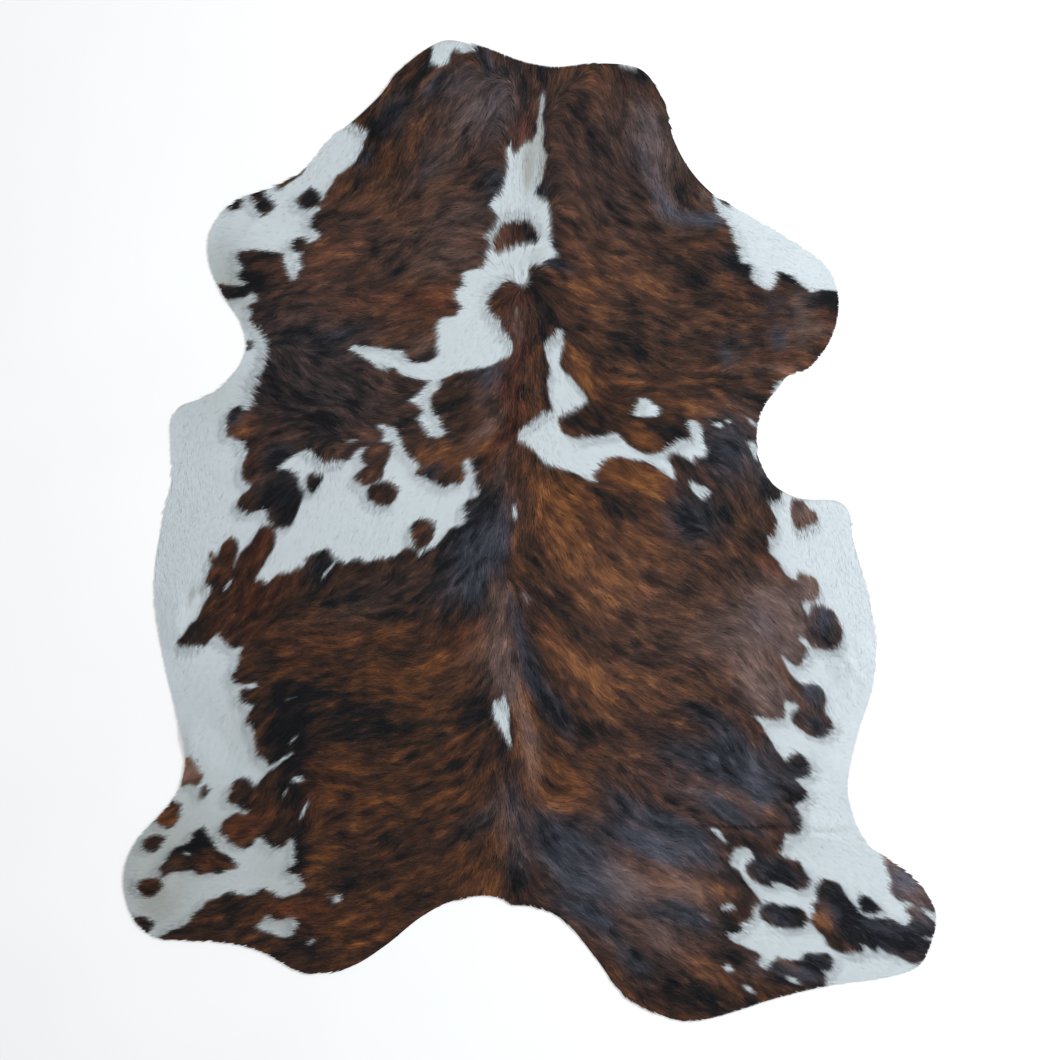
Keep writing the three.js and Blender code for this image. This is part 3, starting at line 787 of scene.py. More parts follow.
# %% The comb
COMB = {
    "whorl": [
        (-20, 620, 90), (-43, 598, 98), (-55, 637, 105), (-75, 553, 160), (5, 590, 50), (48, 619, -35),
        (52, 580, -35), (-20, 500, -90), (25, 511, -80), (-45, 535, 215), (10, 535, -60), (-20, 570, 90),
    ],
    "forehead and poll": [
        (-10, 660, 90), (0, 700, 90), (5, 760, 90), (0, 820, 90), (0, 880, 90), (5, 940, 90), (10, 1000, 90),
        (10, 1040, 90), (-60, 1050, 100), (70, 1030, 80), (-40, 720, 110), (35, 720, 70), (-30, 780, 105),
        (-30, 860, 100),
    ],
    "neck left": [
        (-79, 976, 240), (-181, 950, 230), (-156, 822, 218), (-207, 745, 212), (-259, 693, 204),
        (-310, 796, 235), (-95, 722, 205), (-108, 657, 180), (-154, 575, 185), (-200, 1060, 235),
        (-260, 900, 235), (-100, 880, 230), (-80, 800, 222), (-330, 900, 240), (-400, 820, 235),
    ],
    "neck right": [
        (106, 937, -60), (170, 976, -62), (157, 886, -55), (260, 873, -75), (311, 822, -85), (298, 770, -75),
        (221, 745, -40), (144, 719, -50), (71, 694, -50), (162, 694, -45), (162, 603, -30), (247, 693, -28),
        (350, 680, -10), (401, 706, -15), (375, 757, -55), (350, 610, -15), (80, 800, -58), (80, 880, -60),
        (220, 1020, -62),
    ],
    "right shoulder": [
        (116, 534, -28), (208, 511, -22), (234, 522, -22), (388, 509, -15), (285, 470, -12), (439, 457, -3),
        (208, 444, -20), (94, 454, -22), (82, 420, -55), (388, 393, -5), (439, 368, 3), (234, 321, -3),
        (362, 334, 8), (529, 329, 0), (324, 278, -15), (414, 290, -28), (465, 278, -45), (600, 450, -5),
        (600, 620, -20), (520, 640, -20), (660, 500, -10), (640, 400, -20),
    ],
    "right middle": [
        (195, 106, -25), (259, 93, -28), (182, -10, -35), (234, -61, -35), (182, -112, -38), (336, -10, -15),
        (388, 183, -52), (324, 119, -55), (375, 80, -50), (439, 93, -50), (465, 196, -55), (498, 175, -65),
        (516, 42, -65), (439, 16, -45), (414, -87, -40), (516, -87, -45), (120, 160, -35), (100, 240, -45),
        (60, 320, -70), (60, 400, -70), (90, 60, -35),
    ],
    "right belly": [
        (566, -117, -50), (553, -169, -55), (656, -181, -70), (720, -143, -85), (682, -284, -57),
        (733, -284, -80), (592, -310, -55), (656, -361, -80), (669, -400, -70), (700, -440, -10),
        (640, -480, -30), (520, -450, -50), (570, -560, -45), (600, -610, -40), (650, -600, -45),
        (640, 20, -75), (680, -60, -85), (600, 60, -70),
    ],
    "right hind leg": [
        (350, -600, -25), (450, -650, -30), (420, -690, -42), (480, -780, -45), (560, -760, -40),
        (560, -870, -30), (700, -850, -35), (860, -800, -35), (870, -900, -32), (800, -930, -35),
        (650, -980, -25), (500, -1030, -35), (350, -1000, -18), (250, -700, -25), (250, -850, -30),
        (150, -650, -30), (150, -900, -40), (200, -1000, -58), (60, -720, -42), (20, -650, -60),
        (760, -760, -40), (680, -700, -45),
    ],
    "spine": [
        (-9, 466, -90), (-40, 0, -90), (-79, -169, 260), (-66, -246, 262), (-40, -322, 270),
        (-27, -374, -82), (-2, -271, -72), (24, -322, -62), (37, -246, -58), (11, -92, -50), (37, -400, -55),
        (-30, -650, 270), (-60, -600, 260), (-80, -790, 262), (-15, 400, -90), (-15, 320, -90),
        (-20, 240, -90), (-25, 160, -90), (-30, 80, -90), (-30, -520, -85), (-10, -560, -75),
        (-30, -720, 270), (-30, -800, 268), (10, -480, -65), (10, -565, -62), (0, -725, -50), (20, -60, -50),
        (30, -290, -65),
    ],
    "right ribs": [
        (45, -110, -52), (90, -160, -50), (125, -190, -48), (60, -210, -58), (95, -240, -45),
        (150, -240, -30), (210, -270, -22), (300, -180, -14), (400, -190, -15), (65, -330, -60),
        (105, -370, -45), (60, -400, -55), (130, -430, -30), (220, -450, -18), (320, -450, -20),
        (60, -480, -45), (110, -520, -25), (50, -540, -32), (40, -600, -35), (90, -620, -22),
        (60, -785, -35), (115, -820, -30), (170, -850, -30), (80, 50, -62), (150, 50, -50), (60, 0, -62),
        (250, -350, -25), (350, -350, -30), (450, -350, -35),
    ],
    "left middle": [
        (-60, 385, 250), (-100, 365, 225), (-386, 491, 182), (-284, 464, 182), (-335, 323, 160),
        (-438, 336, 152), (-284, 285, 177), (-412, 234, 148), (-400, 410, 185), (-148, 144, 198),
        (-168, 182, 200), (-245, 131, 200), (-360, 173, 200), (-463, 155, 255), (-322, 136, 243),
        (-130, 70, 230), (-200, -20, 230), (-320, -60, 247), (-478, 3, 225), (-478, -41, 235),
        (-593, -41, 245), (-683, -41, 245), (-786, -54, 277), (-761, -144, 260), (-773, -221, 240),
        (-661, -156, 238), (-559, -130, 225), (-456, -99, 233), (-200, 560, 185), (-100, 300, 215),
        (-80, 230, 225), (-90, 20, 230), (-560, 330, 150), (-560, 200, 200), (-640, 100, 235),
        (-740, 100, 260), (-740, 240, 235),
    ],
    "left flank": [
        (-482, -181, 200), (-430, -246, 185), (-533, -310, 190), (-405, -369, 184), (-661, -322, 217),
        (-610, -400, 215), (-622, -346, 200), (-520, -459, 226), (-430, -438, 188), (-600, -480, 225),
        (-284, -194, 196), (-181, -220, 225), (-130, -246, 230), (-169, -297, 210), (-259, -322, 188),
        (-284, -387, 188), (-130, -426, 217), (-104, -451, 235), (-350, -120, 215), (-740, -400, 225),
        (-350, -200, 184), (-250, -240, 190), (-300, -450, 188), (-200, -450, 200), (-400, -530, 184),
        (-200, -550, 197), (-150, -500, 212), (-120, -560, 222), (-450, -300, 183), (-350, -310, 184),
        (-500, -230, 184), (-140, -340, 218), (-100, -300, 238), (-90, -500, 240), (-200, -360, 196),
    ],
    "left hind leg": [
        (-120, -620, 230), (-200, -650, 200), (-350, -700, 190), (-120, -760, 245), (-200, -790, 205),
        (-350, -850, 195), (-450, -900, 187), (-560, -600, 235), (-510, -630, 242), (-600, -680, 200),
        (-700, -740, 190), (-860, -790, 185), (-600, -850, 195), (-540, -880, 200), (-300, -560, 186),
        (-420, -600, 184), (-700, -620, 215), (-760, -860, 190), (-300, -640, 187), (-250, -720, 202),
        (-150, -690, 215), (-450, -700, 186), (-400, -780, 190), (-300, -800, 198),
    ],
    "left foreleg": [
        (-640, 660, 185), (-470, 590, 190), (-440, 480, 185), (-650, 450, 215), (-560, 720, 200),
        (-420, 700, 205), (-520, 500, 190),
    ],
}
print("comb:", sum(len(rows) for rows in COMB.values()), "places")

# %% The comb's charts
COMB_CELL = 20 * MM
COMB_BLUR = 14 * MM  # keeps one place from ruling its own cell alone
COMB_WAVE = 9  # degrees that the hair wanders from the comb
WAVE_SIZE = 22 * MM

randomness = np.random.default_rng(7)


def grain(cell, radius, rng=randomness):
    """Blurred noise with a mean of 0 and a spread of 1 on a chart of that cell."""
    shape = chart_axes(cell)[0].shape
    noise = soften(rng.standard_normal(shape), radius, cell, 2)
    return (noise - noise.mean()) / noise.std()


def comb_charts():
    """The hair's direction on the fine chart, as x and y of a unit step."""
    px, py = chart_axes(COMB_CELL)
    side, down = np.zeros(px.shape), np.zeros(px.shape)
    for rows in COMB.values():
        for x, y, degrees in rows:
            gap = (px - x * MM) ** 2 + (py - y * MM) ** 2 + COMB_BLUR ** 2
            turn = math.radians(degrees)
            side += math.cos(turn) / gap ** 2
            down += math.sin(turn) / gap ** 2
    length = np.hypot(side, down)
    fx, fy = chart_axes(CELL)
    across = look_up(side / length, fx, fy, COMB_CELL)
    along = look_up(down / length, fx, fy, COMB_CELL)
    wander = look_up(grain(WIDE_CELL, WAVE_SIZE), fx, fy, WIDE_CELL)
    turn = np.arctan2(along, across) + np.radians(COMB_WAVE) * wander
    return np.cos(turn), np.sin(turn)


comb_x, comb_y = comb_charts()
print("combed chart:", comb_x.shape)

# %% [markdown]
# ## Brindle
# Brindle is made of thin tan streaks on dark hair, and they follow the comb. Noise
# smeared along the comb gives just that: from each cell one walks a little way up and
# down the hair and averages the noise on the way. A short walk makes fine strands and
# a long one makes broad stripes. A noise texture stretched in one direction would be
# quicker, but it can't bend with the hair.

# %% Brindle
def smeared(noise, cell, reach):
    """Noise averaged along the hair, as far as reach both ways, with spread 1."""
    px, py = chart_axes(cell)
    step = cell * 1.5
    total = noise.copy()
    for sign in (1, -1):
        x, y = px.copy(), py.copy()
        for _ in range(round(reach / step)):
            c = np.clip(((x - CHART_LEFT) / CELL).astype(int), 0, COLUMNS - 1)
            r = np.clip(((y - CHART_BOTTOM) / CELL).astype(int), 0, ROWS - 1)
            x += sign * step * comb_x[r, c]
            y += sign * step * comb_y[r, c]
            nc = np.clip(((x - CHART_LEFT) / cell).astype(int), 0, noise.shape[1] - 1)
            nr = np.clip(((y - CHART_BOTTOM) / cell).astype(int), 0, noise.shape[0] - 1)
            total += noise[nr, nc]
    return (total - total.mean()) / total.std()


BROAD_CELL = 3 * MM
mottles = smeared(grain(BROAD_CELL, 7 * MM), BROAD_CELL, 9 * MM)
broad_streaks = smeared(grain(BROAD_CELL, 7 * MM), BROAD_CELL, 36 * MM)
thin_streaks = smeared(grain(BROAD_CELL, 3 * MM), BROAD_CELL, 14 * MM)
strands = smeared(grain(CELL, 2 * MM), CELL, 14 * MM)
print("streak charts:", broad_streaks.shape, strands.shape)

# %% [markdown]
# ## Where the coat is tan, black, red or grey
# Over the brindle, whole regions are warmer or darker: bright tan on the right ribs,
# red-brown down the spine and black next to the white. A row of a table is one soft
# brush stroke laid along the hair: its middle, half its length, half its width and its
# strength. Tan and dark strokes move the hair up and down one ramp of colours. The
# overtones are mixed in after that: russet, rosy and a bluish tone on the dark hair, and
# grey on white hair. The bluish tone is painted sheen, a reflection in patches over the
# rump, the back and along the folds. The rosy tone is partly the coat's own and partly
# painted sheen on the right neck wave and the rump. The grey on white hair also carries
# the painted shade over the troughs.

# %% Tone strokes
TAN = [
    # x, y, half length, half width (mm), strength
    (70, 60, 100, 50, .75), (60, -30, 70, 40, .6), (100, -80, 70, 40, .7), (195, -115, 45, 30, 1.2),
    (130, -160, 60, 22, .4), (250, 110, 60, 35, .9), (190, 130, 50, 25, .6), (290, 80, 40, 30, .5),
    (230, -20, 90, 35, .4), (170, -190, 60, 22, .35), (300, -60, 90, 40, .3), (40, 110, 50, 30, .5),
    (55, -235, 35, 18, .7), (75, -270, 50, 18, .6), (120, -310, 70, 36, 1), (160, -360, 55, 26, .8),
    (230, -340, 60, 26, .6), (270, -400, 50, 20, .35), (190, -420, 50, 18, .3), (540, -75, 35, 25, .6),
    (-16, -360, 40, 18, 1), (-14, -440, 80, 22, 1.5), (0, -530, 50, 20, 1.1), (40, -595, 50, 16, .9),
    (100, -632, 40, 10, .8), (110, -560, 60, 22, .6), (60, -530, 40, 16, .5), (190, -540, 50, 25, .6),
    (150, -600, 40, 16, .4), (60, -620, 50, 16, .6), (250, -500, 50, 20, .3), (370, -580, 60, 14, .6),
    (520, -625, 35, 18, .8), (480, -610, 25, 12, .4), (230, -780, 60, 28, .9), (200, -830, 30, 20, .5),
    (300, -775, 60, 26, .4), (360, -800, 60, 24, .9), (410, -790, 40, 20, .8), (450, -815, 30, 14, .6),
    (300, -910, 50, 25, .45), (200, -920, 40, 15, .4), (395, -980, 40, 28, .9), (455, -1020, 35, 12, .8),
    (320, -1080, 50, 10, .6), (662, -870, 28, 24, 2.2), (90, -780, 90, 9, .7), (25, -730, 30, 9, .6),
    (510, -980, 30, 14, .3), (130, 510, 60, 35, .6), (290, 550, 50, 30, .6), (110, 545, 40, 20, .6),
    (200, 570, 60, 25, .4), (95, 400, 45, 16, 1), (110, 350, 40, 20, 1), (125, 325, 30, 16, .8),
    (240, 328, 70, 7, .9), (370, 332, 40, 7, .6), (440, 340, 30, 8, .4), (350, 275, 40, 18, .9),
    (440, 280, 50, 14, .7), (390, 265, 30, 12, .6), (470, 255, 25, 12, .6), (250, 200, 35, 25, .9),
    (235, 225, 25, 14, .6), (560, 350, 40, 15, .6), (540, 390, 40, 14, .5), (600, 400, 50, 14, .4),
    (530, 320, 25, 12, .6), (660, 480, 30, 22, .5), (600, 520, 30, 18, .5), (430, 540, 30, 16, .4),
    (330, 500, 60, 12, .4), (450, 470, 30, 10, .4), (470, 510, 30, 14, .4), (640, 430, 50, 12, .4),
    (160, 1000, 50, 25, .5), (150, 960, 40, 20, .3), (90, 730, 40, 22, .6), (120, 760, 30, 15, .4),
    (70, 700, 30, 20, .4), (200, 640, 60, 20, .4), (130, 620, 60, 16, .4), (260, 560, 50, 28, .6),
    (120, 570, 50, 22, .5), (380, 640, 40, 18, .4), (420, 620, 30, 12, .4), (250, 980, 20, 12, .4),
    (430, 550, 30, 14, .5), (100, 880, 30, 12, .3), (390, 740, 20, 12, .4), (-140, 925, 35, 18, .6),
    (-255, 870, 30, 18, .5), (-255, 830, 25, 14, .4), (-430, 785, 50, 20, .5), (-465, 610, 60, 22, .8),
    (-420, 620, 50, 20, .6), (-320, 510, 120, 16, .35), (-200, 510, 40, 24, .8), (-400, 500, 60, 14, .6),
    (-210, 440, 40, 20, .4), (-290, 480, 50, 18, .3), (-470, 460, 30, 12, .6), (-330, 425, 30, 8, .7),
    (-155, 640, 20, 18, .6), (-350, 740, 40, 20, .3), (-300, 690, 40, 16, .3), (-265, 410, 30, 16, .3),
    (-380, 905, 15, 12, .8), (-240, 720, 30, 14, .2), (-215, 1022, 26, 10, .9), (-440, 690, 25, 12, .3),
    (-640, 240, 32, 24, .8), (-400, 235, 45, 10, .7), (-360, 215, 35, 8, .6), (-340, 330, 60, 10, .3),
    (-420, 310, 60, 10, .3), (-345, 175, 22, 18, .7), (-220, 165, 35, 25, .9), (-170, 140, 25, 22, .5),
    (-120, 185, 25, 18, .5), (-100, 195, 20, 10, .6), (-440, 165, 30, 12, .4), (-350, 120, 25, 14, .4),
    (-620, 130, 25, 20, .25), (-640, 70, 30, 18, .35), (-250, 170, 20, 16, .6), (-300, -330, 110, 26, .5),
    (-200, -290, 70, 20, .7), (-130, -270, 50, 22, .9), (-380, -330, 60, 20, .4), (-480, -240, 70, 25, .4),
    (-420, -230, 50, 14, .35), (-560, -310, 35, 16, .4), (-300, -220, 70, 15, .25), (-280, -370, 70, 15, .5),
    (-220, -400, 60, 18, .4), (-180, -440, 40, 16, .4), (-130, -480, 50, 14, .5), (-100, -530, 30, 10, .4),
    (-440, -540, 60, 40, .5), (-360, -600, 40, 18, .7), (-480, -620, 40, 24, .4), (-420, -510, 50, 20, .4),
    (-250, -520, 70, 12, .4), (-200, -600, 120, 7, .6), (-120, -570, 60, 6, .6), (-280, -640, 80, 7, .5),
    (-170, -640, 70, 7, .45), (-300, -600, 40, 8, .3), (-580, -640, 30, 20, .3), (-650, -665, 35, 22, .4),
    (-480, -750, 32, 40, .75), (-460, -700, 20, 30, .3), (-500, -790, 20, 14, .6), (-250, -790, 50, 20, .7),
    (-130, -760, 60, 30, .8), (-90, -800, 40, 14, .7), (-190, -740, 40, 20, .4), (-60, -700, 40, 16, .3),
    (-400, -870, 60, 28, .5), (-340, -900, 50, 20, .4), (-430, -920, 50, 22, .35),
    (260, -170, 240, 230, .38), (260, -780, 220, 140, .45), (565, -190, 60, 60, .8), (530, -340, 60, 45, .9),
    # The strokes at (257, 890), (270, 820), (310, 715) and (350, 697) on these two lines lighten the hair
    # along the right neck wave: painted sheen of that fold.
    (614, 34, 25, 25, .9), (640, -355, 25, 20, .6), (625, -130, 20, 20, 1.3), (257, 890, 50, 28, .9),
    (270, 820, 60, 24, .8), (310, 715, 40, 20, .9), (350, 697, 40, 14, .6), (825, -772, 50, 34, 2.4),
    (865, -815, 40, 30, 1.2), (655, -175, 22, 16, .5), (870, -870, 30, 14, 1), (-772, -545, 26, 26, 1.4),
    (-18, 890, 26, 14, .9), (-70, -160, 50, 26, .6), (-80, -290, 60, 40, .5), (-90, -235, 50, 24, .4),
    (-6, -155, 13, 7, 1.8), (-812, -635, 18, 16, .6), (200, -790, 50, 25, 1), (300, -720, 60, 20, .4),
    (-560, -840, 50, 18, .5), (-530, -860, 30, 14, .4), (-770, -545, 30, 30, 1), (-815, -640, 25, 25, .4),
]
DARKEN = [
    (-540, -420, 70, 55, 1), (-520, -360, 50, 30, .6), (-560, -470, 40, 30, .8), (-530, -530, 28, 40, 1),
    (-530, -600, 22, 50, .9), (-520, -700, 20, 40, .9), (-520, -760, 16, 30, .9), (-410, -430, 90, 35, .7),
    (-330, -440, 50, 30, .6), (-130, -390, 40, 38, .6), (-120, -430, 35, 25, .5), (-120, -660, 50, 25, .4),
    (-20, -790, 40, 22, .9), (-40, -740, 30, 20, .6), (-410, -780, 40, 20, .7), (-230, -800, 30, 14, .5),
    (-640, -590, 40, 25, .7), (-600, -700, 30, 16, .8), (-300, -750, 90, 18, .3), (-280, -680, 70, 14, .25),
    (-160, -700, 50, 20, .3), (-520, -920, 30, 14, .6), (-640, -810, 50, 18, .7), (-680, -870, 70, 22, .5),
    (-560, -940, 60, 14, .5), (-760, -900, 50, 10, .3), (-600, -280, 25, 30, .3), (-640, -370, 25, 20, .5),
    (-330, -130, 110, 30, .35), (-450, -150, 80, 25, .3), (-180, -120, 70, 35, .6), (-120, -180, 30, 30, .9),
    (-300, -180, 70, 20, .3), (-480, -130, 40, 20, .3), (-90, 60, 35, 30, .9), (-120, 20, 40, 25, .8),
    (-555, 75, 45, 42, 1.4), (-545, 30, 28, 24, 1.1), (-560, 160, 40, 25, .9), (-500, 300, 70, 40, .5),
    (-480, 240, 60, 30, .6), (-430, 200, 50, 14, .4), (-600, 330, 60, 40, .3), (-540, 420, 90, 25, .45),
    (-430, 430, 60, 16, .6), (-620, 560, 30, 30, .6), (-600, 480, 40, 30, .5), (-350, 620, 60, 20, .4),
    (-300, 575, 90, 12, .4), (-480, 680, 35, 16, .3), (-400, 700, 50, 16, .4), (-180, 300, 35, 40, .35),
    (-160, 240, 30, 20, .3), (-330, 80, 30, 22, .4), (-220, 125, 25, 16, .8), (-300, 370, 40, 10, .4),
    (-270, 250, 40, 20, .5), (-470, -80, 35, 20, 1.1), (-250, -60, 40, 20, .3), (-160, -40, 50, 35, .7),
    (-490, 105, 20, 16, .7), (-420, 640, 30, 12, .3), (-400, 330, 90, 60, .2), (-360, 880, 35, 22, .6),
    (-310, 930, 40, 28, .8), (-260, 1000, 40, 20, .5), (-230, 1045, 30, 14, .6), (-210, 990, 35, 16, .6),
    (-90, 790, 35, 22, .9), (-75, 740, 22, 20, .7), (-110, 1060, 35, 14, .5), (-375, 840, 20, 14, .5),
    (-10, 950, 30, 12, .9), (25, 1020, 30, 16, .7), (240, 1020, 25, 12, .9), (190, 1030, 25, 10, .4),
    (20, 760, 16, 16, 1), (35, 860, 12, 10, .7), (60, 600, 30, 12, .8), (80, 570, 25, 14, .7),
    (25, 520, 50, 16, 1), (80, 450, 40, 14, .7), (460, 600, 40, 22, .9), (480, 580, 25, 20, .8),
    (370, 570, 60, 12, .6), (400, 530, 50, 14, .6), (350, 590, 40, 10, .4), (350, 740, 25, 25, .5),
    (370, 780, 30, 10, .4), (60, 900, 60, 12, .3), (130, 900, 60, 14, .25), (210, 940, 40, 14, .3),
    (160, 840, 60, 14, .25), (330, 560, 50, 12, .4), (10, 640, 14, 30, .6), (662, 514, 34, 20, 1.6),
    (690, 500, 16, 20, 1), (240, 415, 50, 22, .6), (200, 430, 30, 14, .4), (320, 310, 60, 10, .5),
    (160, 250, 50, 28, .6), (120, 280, 30, 12, .5), (100, 240, 25, 16, .6), (330, 215, 30, 26, .9),
    (290, 235, 25, 20, .6), (470, 310, 30, 16, .4), (510, 310, 20, 30, .5), (450, 180, 45, 45, .5),
    (400, 160, 40, 20, .4), (340, 155, 25, 14, .7), (582, 566, 30, 16, 1.2), (35, 420, 60, 14, .6),
    (190, 60, 45, 32, .6), (230, 30, 40, 20, .5), (370, 25, 50, 42, 1.2), (430, 40, 30, 25, .6),
    (540, 80, 30, 20, .8), (500, 60, 30, 30, .4), (520, -20, 20, 16, .8), (450, -80, 20, 50, .4),
    (470, -120, 20, 30, .3), (370, -100, 30, 25, .4), (330, -150, 30, 15, .3), (30, -110, 50, 20, .4),
    (80, -180, 55, 28, .7), (130, -240, 60, 16, .5), (230, -270, 80, 16, .5), (330, -270, 50, 20, .3),
    (0, -270, 60, 16, .5), (30, -370, 50, 16, .9), (60, -420, 40, 18, .9), (110, -445, 50, 18, .7),
    (200, -460, 50, 14, .3), (390, -415, 35, 16, 1.1), (430, -430, 30, 14, .8), (460, -520, 40, 30, .6),
    (340, -490, 40, 18, .4), (290, -560, 50, 20, .3), (470, -270, 25, 15, .4), (330, -400, 40, 12, .4),
    (200, -610, 50, 18, .6), (250, -590, 40, 14, .4), (320, -660, 40, 14, .4), (100, -700, 80, 30, .4),
    (30, -700, 40, 20, .4), (140, -830, 70, 22, .4), (90, -860, 40, 16, .4), (240, -970, 45, 18, .7),
    (360, -870, 60, 18, .6), (450, -880, 40, 20, .9), (480, -840, 20, 16, .8), (470, -790, 30, 20, .6),
    (550, -770, 50, 24, 1.3), (570, -865, 46, 20, 1.2), (690, -820, 40, 26, .8), (740, -910, 60, 24, 1.2),
    (840, -920, 50, 22, 1.2), (760, -835, 25, 18, 1.1), (640, -970, 35, 20, .9), (380, -1040, 80, 18, .9),
    (290, -1040, 50, 20, .6), (560, -1000, 50, 14, .4), (460, -960, 30, 20, .6), (602, -535, 25, 28, 1.1),
    (600, -600, 30, 30, .8), (660, -240, 28, 22, .8), (640, -390, 20, 12, .3), (645, -440, 28, 16, .7),
    (-330, -420, 280, 330, .12), (-480, 350, 190, 130, .3), (-5, 680, 30, 10, .8), (14, 660, 12, 16, .9),
    (715, -850, 40, 50, 1.1), (-590, 300, 60, 60, .2), (-600, 735, 30, 30, .8), (-500, 740, 34, 24, .5),
    (260, 740, 240, 300, .12), (890, -900, 30, 20, .9), (-760, -710, 60, 30, 1), (-730, -690, 20, 16, .9),
    (-860, -885, 20, 14, 1), (-845, -700, 16, 12, .5), (-850, -800, 20, 14, .5), (-730, -585, 12, 10, .6),
    (-595, 735, 18, 20, .8), (-495, 740, 25, 18, .8), (-520, 635, 16, 16, .9), (-665, 727, 14, 12, .6),
    (-660, 531, 42, 16, 1.6), (-645, 600, 26, 14, .8), (-640, 565, 30, 20, 1), (-665, 250, 28, 14, 1),
]
